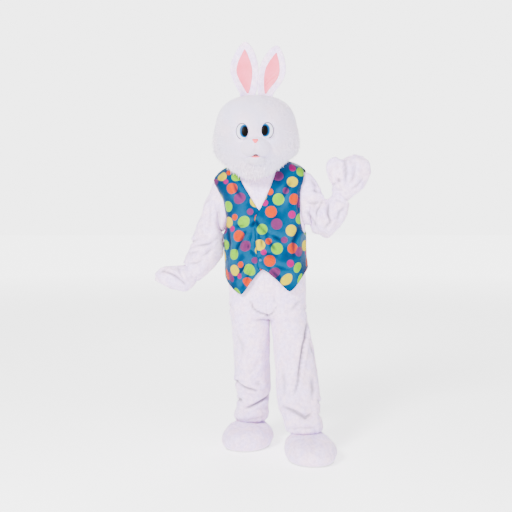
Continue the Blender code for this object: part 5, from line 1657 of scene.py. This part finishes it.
def short_fur(name, piece, count, length, wide, finish):
    """Very short tufts over a padded piece, lying outward from its middle and down."""
    count = count
    mesh = piece.data
    corners = np.array([vertex.co for vertex in mesh.vertices])
    mesh.calc_loop_triangles()
    faces = np.array([triangle.vertices for triangle in mesh.loop_triangles])
    a, b, c = (corners[faces[:, k]] for k in range(3))
    cross = np.cross(b - a, c - a)
    area = np.linalg.norm(cross, axis=1) * (cross[:, 1] < 0)
    total = np.concatenate([[0], np.cumsum(area)])
    picked = np.clip(np.searchsorted(total, rng.random(count) * total[-1]) - 1, 0, len(faces) - 1)
    s, t = np.sqrt(rng.random(count)), rng.random(count)
    roots = a[picked] * (1 - s)[:, None] + b[picked] * (s * (1 - t))[:, None] + c[picked] * (s * t)[:, None]
    normal = unit(cross[picked])
    flow = laid_flat(roots - roots.mean(axis=0) + (0, 0, -0.012), normal)
    jitter = rng.normal(0, 1, (count, 3))
    keep = np.ones(count, bool)
    for centre, half, share in ((NOSE_AT, NOSE_HALF, (1.05, 1.05)), (MOUTH_AT, MOUTH_HALF, (1, 1.3)),
                                (MOUTH_SHADOW_AT, MOUTH_SHADOW_HALF, (1.1, 1.3))):
        keep &= within(roots, centre, np.multiply(half, share)) > 1
    groove = np.exp(-((roots[:, 0] - NOSE_AT[0]) / 0.0035) ** 2) * smooth(1.58, 1.60, height_of(roots))
    smile = np.exp(-(near_line(roots, SMILE) / 0.0022) ** 2)
    long = length * (0.75 + 0.5 * rng.random(count)) * (1 - 0.6 * smile)
    # the tone falls to dark along the smile creases: painted shade
    looks = (roots - normal * 0.0008, normal * 0.8 + flow * 0.6 + jitter * 0.12,
             normal * 0.25 + flow + jitter * 0.15, long, np.full(count, wide),
             rng.random(count) * (1 - smile), 0.10 + 0.45 * groove)
    tufts(name, *[values[keep] for values in looks], finish, "white_plush")


def face_pad(name, fill, looks, centre, half, *shape):
    """A raised pad that stands for a part of the face; its looks are a kind of cloth, a finish and a slot,
    and the slot is not used.
    """
    cloth, finish, slot = looks
    made = raised_pad(f"{name}_{cloth}", centre, half, finish, slot, *shape)
    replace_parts(made, name)
    return made


def face(fur):
    """The muzzle and the jaw with their short fur, the nose, the mouth, and a dark felt oval that is the
    painted shadow inside the mouth.
    """
    plush_looks = ("plush", fur, "white_plush")
    muzzle = face_pad("muzzle", 0.9, plush_looks, MUZZLE_CENTRE, MUZZLE_HALF, muzzle_rise, face_depth, 0.010,
                      muzzle_outline, 22, 96)
    jaw = face_pad("jaw", 0.8, plush_looks, JAW_CENTRE, JAW_HALF, dome(JAW_RISE), face_depth, 0.012)
    short_fur("muzzle_fur", muzzle, 6500, 0.0050, 0.0014, fur)
    short_fur("jaw_fur", jaw, 2500, 0.0125, 0.0018, fur)
    felt_looks = ("felt", pink_felt(), "pink_felt")
    face_pad("nose", 1.0, felt_looks, NOSE_AT, NOSE_HALF, dome(NOSE_RISE), muzzle_front, 0.003,
             nose_outline, 10, 48)
    face_pad("mouth", 0.8, felt_looks, MOUTH_AT, MOUTH_HALF, dome(MOUTH_RISE), face_depth, 0.008, None, 8, 40)
    # painted shadow: a dark felt oval put over the mouth where there is only shade
    mouth_shadow_finish, _, _ = new_finish("painted mouth shadow felt", (0.10, 0.07, 0.08), 0.9)
    raised_pad("mouth_shadow", MOUTH_SHADOW_AT, MOUTH_SHADOW_HALF, mouth_shadow_finish, None, dome(0.006), face_depth, 0.008,
               None, 6, 32)


# ---------------------------------------------------------------- ears
def ear_frame(side, at, across):
    """A point of the ear's mid surface; across runs from -1 to 1."""
    row = EARS[side].read(at)
    lean = EAR_LEAN[side] * smooth_step(0.0, 0.3, at)
    reach = across * row["half"]
    return np.array((row["x"] + reach * math.cos(lean), EAR_Y - row["cup"] * across * across,
                     row["height"] - reach * math.sin(lean)))


def ear_sheet(side, rows, limits, count):
    """The ear's mid surface and its normals over rows, each as wide as its own limit."""
    points, normals = [], []
    for at, limit in zip(rows, limits):
        line, out = [], []
        for across in np.linspace(-limit, limit, count):
            step = 0.01
            along = ear_frame(side, min(at + step, 1), across) - ear_frame(side, max(at - step, 0), across)
            over = ear_frame(side, at, across + step) - ear_frame(side, at, across - step)
            normal = np.cross(over, along)
            line.append(ear_frame(side, at, across))
            out.append(normal / np.linalg.norm(normal))
        points.append(line)
        normals.append(out)
    return np.array(points), np.array(normals)


def pink_lining():
    shades = ((0.70, 0.075, 0.140), (0.78, 0.105, 0.190))
    made, tree, shader, where, slow = mottled("pink ear satin", (0.86, 0.30, 0.36), shades, 0.5, 0.1, 22, 0.5)
    bump(tree, [(slow, 0.25, 0.004), (noise_field(tree, where, 700, 2, 0.6), 0.2, 0.0004)], shader)
    return made


LINING_FOLDS = {
    "front": [
        ([(.038, 1.972), (.07, 2.006), (.112, 2.038)], .0045, .0016),
        ([(.04, 1.955), (.075, 1.985), (.104, 2.004)], .0045, .0016),
    ],
}


def ear_half(at, across):
    """Half the ear's thickness: thinner towards its edges and its tip."""
    return EAR_THICK / 2 * (0.12 + 0.88 * np.sqrt(np.maximum(1 - across ** 2, 0))) * (1 - 0.6 * at ** 6)


def ears():
    """Two padded ears, each with a satin lining that lies on its front."""
    lining = pink_lining()
    for side in SIDES:
        rows = np.sin(np.linspace(0, math.pi / 2, 60))
        middle, normals = ear_sheet(side, rows, np.ones(60), 41)
        half = ear_half(rows[:, None], np.linspace(-1, 1, 41)[None, :])[..., None]
        middle = to_row(middle)
        front, back = middle + normals * half, middle - normals * half
        for point in (*front[0], *back[0]):
            point[2] = crown_height(point[0], point[1]) - ORIGIN_HEIGHT - 0.012
        ear = add_piece(f"ear_{side}_plush", sheet_mesh(f"ear_{side}_plush", front, back), WHITE_FINISH)
        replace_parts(ear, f"ear_{side}")
        rows = np.linspace(*LINING_REACH, 44)
        share = (rows - LINING_REACH[0]) / (LINING_REACH[1] - LINING_REACH[0])
        limits = LINING_SHARE * np.maximum(np.sin(np.pi * (0.03 + 0.97 * share)), 0.01) ** 0.62
        middle, normals = ear_sheet(side, rows, limits, 27)
        half = ear_half(rows[:, None], limits[:, None] * np.linspace(-1, 1, 27)[None, :])
        middle = to_row(middle)
        fold = creases(middle, normals, LINING_FOLDS) if side == "left" else 0
        over = middle + normals * (half + 0.0016 + fold)[..., None]
        under = middle + normals * (half - 0.0006)[..., None]
        name = f"ear_lining_{side}_satin"
        lined = add_piece(name, sheet_mesh(name, over, under), lining)
        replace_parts(lined, f"ear_lining_{side}")


def head():
    """The foam shell under the fur, the fur and the face."""
    fur = fur_finish()
    outer, normals, foam = skull_grid()
    base = closed_cap("head_foam", foam, FOAM_THICK, fur)
    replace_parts(base, "head_front", "head_back")
    # the foam between the tufts takes the fur's painted root shade and a middle tone
    for label, value in (("along", 0.35), ("tone_and_smile_shade", 0.6), ("blush", 0.0)):
        made = base.data.attributes.new(label, "FLOAT", "POINT")
        made.data.foreach_set("value", np.full(len(base.data.vertices), value, np.float32))
    head_fur(outer, normals, foam, fur)
    face(fur)


# ---------------------------------------------------------------- eyes
PUPIL_ASIDE, PUPIL_UP = 0.0150, 0.0005            # from the eye's centre towards the nose, and up
PUPIL_HALF, IRIS_HALF = (0.0168, 0.0262), (0.0252, 0.0340)
IRIS_ASIDE = 0.0125
INNER_IRIS_HALF = (0.0212, 0.0302)
OVAL_POWER = 2.2
EYE_SINK = 0.0030


def clear_selection():
    if bpy.context.object and bpy.context.object.mode != "OBJECT":
        bpy.ops.object.mode_set(mode="OBJECT")
    bpy.ops.object.select_all(action="DESELECT")


def oval_mask(tree, x, z, centre, half, soft):
    """1 inside an oval painted on the eye, 0 outside it."""
    reach = []
    for value, middle, size in ((x, centre[0], half[0]), (z, centre[1] - ORIGIN_HEIGHT, half[1])):
        share = maths(tree, "DIVIDE", maths(tree, "SUBTRACT", value, middle), size)
        reach.append(maths(tree, "POWER", maths(tree, "ABSOLUTE", share), OVAL_POWER))
    return map_range(tree, maths(tree, "ADD", *reach), 1 + soft / half[0], 1 - soft / half[0], 0, 1)


def eye_finish(side):
    """Moulded white plastic with a painted blue iris and a dark oval pupil towards the nose."""
    x, height = EYES[side]
    inward = -SIDES[side]
    made, tree, shader = new_finish(f"painted eye {side}", (0.85, 0.87, 0.90), 0.3, Specular_IOR_Level=0.02)
    where = add_node(tree, "ShaderNodeSeparateXYZ")
    tree.links.new(object_place(tree), where.inputs[0])

    def oval(aside, up, half, soft=0.0006):
        centre = (x + inward * aside, height + up)
        return oval_mask(tree, where.outputs["X"], where.outputs["Z"], centre, half, soft)

    iris = oval(IRIS_ASIDE, 0.001, IRIS_HALF)
    inner_iris = oval(IRIS_ASIDE + 0.0006, 0, INNER_IRIS_HALF, 0.0020)
    pupil = oval(PUPIL_ASIDE, PUPIL_UP - 0.001, PUPIL_HALF)
    blue = mix(tree, inner_iris, (0.003, 0.085, 0.215), (0.0015, 0.035, 0.11))
    white = mix(tree, iris, (0.52, 0.50, 0.62), blue)
    tree.links.new(mix(tree, pupil, white, (0.0025, 0.002, 0.002)), shader.inputs["Base Color"])
    return made


def eye_place(side):
    """Where the eye sits on the fur's front, and how far it turns and tips to follow the face."""
    x, height = EYES[side]
    turn = math.atan2(face_depth(x + 0.02, height) - face_depth(x - 0.02, height), 0.04)
    tip = math.atan2(face_depth(x, height + 0.03) - face_depth(x, height - 0.03), 0.06)
    return Vector((x, face_depth(x, height), height - ORIGIN_HEIGHT)), turn, tip


def edit_all():
    bpy.ops.object.mode_set(mode="EDIT")
    bpy.ops.mesh.select_all(action="SELECT")


def set_on_face(turn, tip, place):
    """Turns and tips the mesh that is being edited to follow the face, and moves it to its place."""
    bpy.ops.mesh.select_all(action="SELECT")
    bpy.ops.transform.rotate(value=-turn, orient_axis="Z", center_override=(0, 0, 0))
    bpy.ops.transform.rotate(value=tip, orient_axis="X", center_override=(0, 0, 0))
    bpy.ops.transform.translate(value=place)
    bpy.ops.object.mode_set(mode="OBJECT")


def eye_dome(side, place, turn, tip):
    """The moulded eye: the front of a squashed ball."""
    clear_selection()
    bpy.ops.mesh.primitive_uv_sphere_add(segments=72, ring_count=36, radius=1.0, location=(0, 0, 0))
    made = bpy.context.object
    made.name = f"eye_{side}_dome"
    edit_all()
    bpy.ops.transform.resize(value=(EYE_HALF[0], EYE_RISE + EYE_SINK, EYE_HALF[1]))
    bpy.ops.mesh.bisect(plane_co=(0, EYE_SINK, 0), plane_no=(0, 1, 0), clear_outer=True, use_fill=True)
    set_on_face(turn, tip, place)
    bpy.ops.object.shade_smooth_by_angle(angle=math.radians(40))
    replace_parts(settle(made, eye_finish(side)), f"eye_{side}")


def eye_outline(side, place, turn, tip, finish):
    """A dark line round the eye's upper and outer edge: part of a squashed ring."""
    clear_selection()
    bpy.ops.mesh.primitive_torus_add(major_radius=EYE_HALF[0] * 0.93, minor_radius=0.0021,
                                     major_segments=96, minor_segments=12, location=(0, 0, 0),
                                     rotation=(math.radians(90), 0, 0))
    made = bpy.context.object
    made.name = f"eye_{side}_outline"
    bpy.ops.object.transform_apply(location=False, rotation=True, scale=False)
    edit_all()
    bpy.ops.transform.resize(value=(1, 1, EYE_HALF[1] / EYE_HALF[0]))
    bpy.ops.mesh.bisect(plane_co=(-SIDES[side] * 0.006, 0, 0), plane_no=(-SIDES[side] * 0.95, 0, -0.3),
                        clear_outer=True, use_fill=True)
    bpy.ops.mesh.select_all(action="SELECT")
    bpy.ops.transform.translate(value=(0, -0.0036, 0))
    set_on_face(turn, tip, place)
    bpy.ops.object.shade_smooth()
    settle(made, finish)


def eyes():
    outline, _, _ = new_finish("eye outline", (0.012, 0.011, 0.012), 0.45)
    for side in SIDES:
        place, turn, tip = eye_place(side)
        eye_dome(side, place, turn, tip)
        eye_outline(side, place, turn, tip, outline)
    clear_selection()


# ---------------------------------------------------------------- soles and button
def soles():
    """The vinyl soles stay as they are, with a pebbled finish."""
    shades = ((0.60, 0.58, 0.59), (0.70, 0.68, 0.69))
    made, tree, shader, where, _ = mottled("pale vinyl", (0.66, 0.64, 0.65), shades, 0.6, 0.0, 16, 0.6)
    pebbles = add_node(tree, "ShaderNodeTexVoronoi", Scale=260)
    tree.links.new(where, pebbles.inputs["Vector"])
    bump(tree, [(pebbles.outputs["Distance"], 0.35, 0.0006)], shader)
    for side in SIDES:
        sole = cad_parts[f"shoe_sole_{side}"]
        sole.data.materials.clear()
        sole.data.materials.append(made)


def drill_holes(made):
    """Four holes right through the button."""
    for across, up in ((1, 1), (-1, 1), (1, -1), (-1, -1)):
        bpy.ops.mesh.primitive_cylinder_add(vertices=16, radius=0.0008, depth=0.02,
                                            location=(across * BUTTON_HOLE, 0, up * BUTTON_HOLE),
                                            rotation=(math.radians(90), 0, 0))
        drill = bpy.context.object
        clear_selection()
        bpy.context.view_layer.objects.active = made
        made.select_set(True)
        hole = made.modifiers.new("hole", "BOOLEAN")
        hole.operation, hole.object = "DIFFERENCE", drill
        bpy.ops.object.modifier_apply(modifier="hole")
        bpy.data.objects.remove(drill)


def button():
    """A four-hole button with a rolled rim and a dished face."""
    low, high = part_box("vest_button")
    clear_selection()
    bpy.ops.mesh.primitive_cylinder_add(vertices=48, radius=BUTTON_RADIUS, depth=BUTTON_THICK,
                                        location=(0, 0, 0))
    made = bpy.context.object
    made.name = "vest_button_dished"
    bpy.ops.object.mode_set(mode="EDIT")
    bpy.ops.mesh.select_mode(type="FACE")
    bpy.ops.mesh.select_all(action="DESELECT")
    bpy.ops.object.mode_set(mode="OBJECT")
    for button_face in made.data.polygons:
        button_face.select = button_face.normal.z > 0.9
    bpy.ops.object.mode_set(mode="EDIT")
    bpy.ops.mesh.inset(thickness=0.0014)
    bpy.ops.transform.translate(value=(0, 0, -0.0008))
    bpy.ops.mesh.inset(thickness=0.0006)
    bpy.ops.mesh.select_all(action="SELECT")
    bpy.ops.transform.rotate(value=math.radians(90), orient_axis="X", center_override=(0, 0, 0))
    bpy.ops.object.mode_set(mode="OBJECT")
    rounded = made.modifiers.new("rounded", "BEVEL")
    rounded.width, rounded.segments, rounded.limit_method = 0.0004, 3, "ANGLE"
    bpy.ops.object.modifier_apply(modifier="rounded")
    drill_holes(made)
    edit_all()
    bpy.ops.transform.rotate(value=math.radians(8), orient_axis="Z", center_override=(0, 0, 0))
    bpy.ops.transform.translate(value=(Vector(low) + Vector(high)) / 2)
    bpy.ops.object.mode_set(mode="OBJECT")
    bpy.ops.object.shade_smooth_by_angle(angle=math.radians(35))
    blue, _, _ = new_finish("blue button plastic", (0.003, 0.07, 0.20), 0.3)
    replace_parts(settle(made, blue), "vest_button")
    clear_selection()


# ---------------------------------------------------------------- stage
FLOOR_HALF = 30


def area_light(name, place, aim, size, power):
    light = bpy.data.lights.new(name, "AREA")
    light.shape = "DISK"
    light.size = size
    light.energy = power
    made = bpy.data.objects.new(name, light)
    made.location = place
    made.rotation_euler = (Vector(aim) - Vector(place)).to_track_quat("-Z", "Y").to_euler()
    bpy.context.scene.collection.objects.link(made)


def stage():
    """A pale floor that brightens into the distance, three soft lights and a white world."""
    mesh = bpy.data.meshes.new("floor")
    corners = [(x * FLOOR_HALF, y * FLOOR_HALF, -ORIGIN_HEIGHT - 0.0005)
               for x, y in ((-1, -1), (1, -1), (1, 1), (-1, 1))]
    mesh.from_pydata(corners, [], [(0, 1, 2, 3)])
    floor = bpy.data.objects.new("floor", mesh)
    made, tree, shader = new_finish("pale floor", (0.92, 0.92, 0.92), 0.9)
    shader.inputs["Emission Color"].default_value = (1, 1, 1, 1)
    away = add_node(tree, "ShaderNodeVectorMath", operation="LENGTH")
    tree.links.new(object_place(tree), away.inputs[0])
    glow = map_range(tree, away.outputs["Value"], 2.0, 12.0, 1.8, 4.2)
    tree.links.new(glow, shader.inputs["Emission Strength"])
    mesh.materials.append(made)
    bpy.context.scene.collection.objects.link(floor)
    area_light("key", (-2.4, -4.2, 2.4), (0, 0, -0.3), 1.6, 900)
    area_light("fill", (3.0, -4.2, 0.6), (0, 0, -0.3), 3.0, 260)
    area_light("back", (0.5, 3.6, 2.8), (0, 0, -0.2), 2.5, 250)
    world = bpy.data.worlds.new("studio")
    world.use_nodes = True
    tree = world.node_tree
    sky = tree.nodes["Background"]
    sky.inputs["Color"].default_value = (1, 1, 1, 1)
    seen = tree.nodes.new("ShaderNodeLightPath").outputs["Is Camera Ray"]
    tree.links.new(map_range(tree, seen, 0, 1, 0.55, 4.4), sky.inputs["Strength"])
    bpy.context.scene.world = world


def camera():
    data = bpy.data.cameras.new("camera")
    data.lens, data.sensor_width = 64, 36
    made = bpy.data.objects.new("camera", data)
    made.location = (0, -5, -0.15)
    made.rotation_euler = (math.radians(90 - 3.52), 0, 0)
    bpy.context.scene.collection.objects.link(made)
    bpy.context.scene.camera = made


camera()
coverall()
vest()
mitts()
shoe_covers()
head()
eyes()
ears()
soles()
button()
stage()
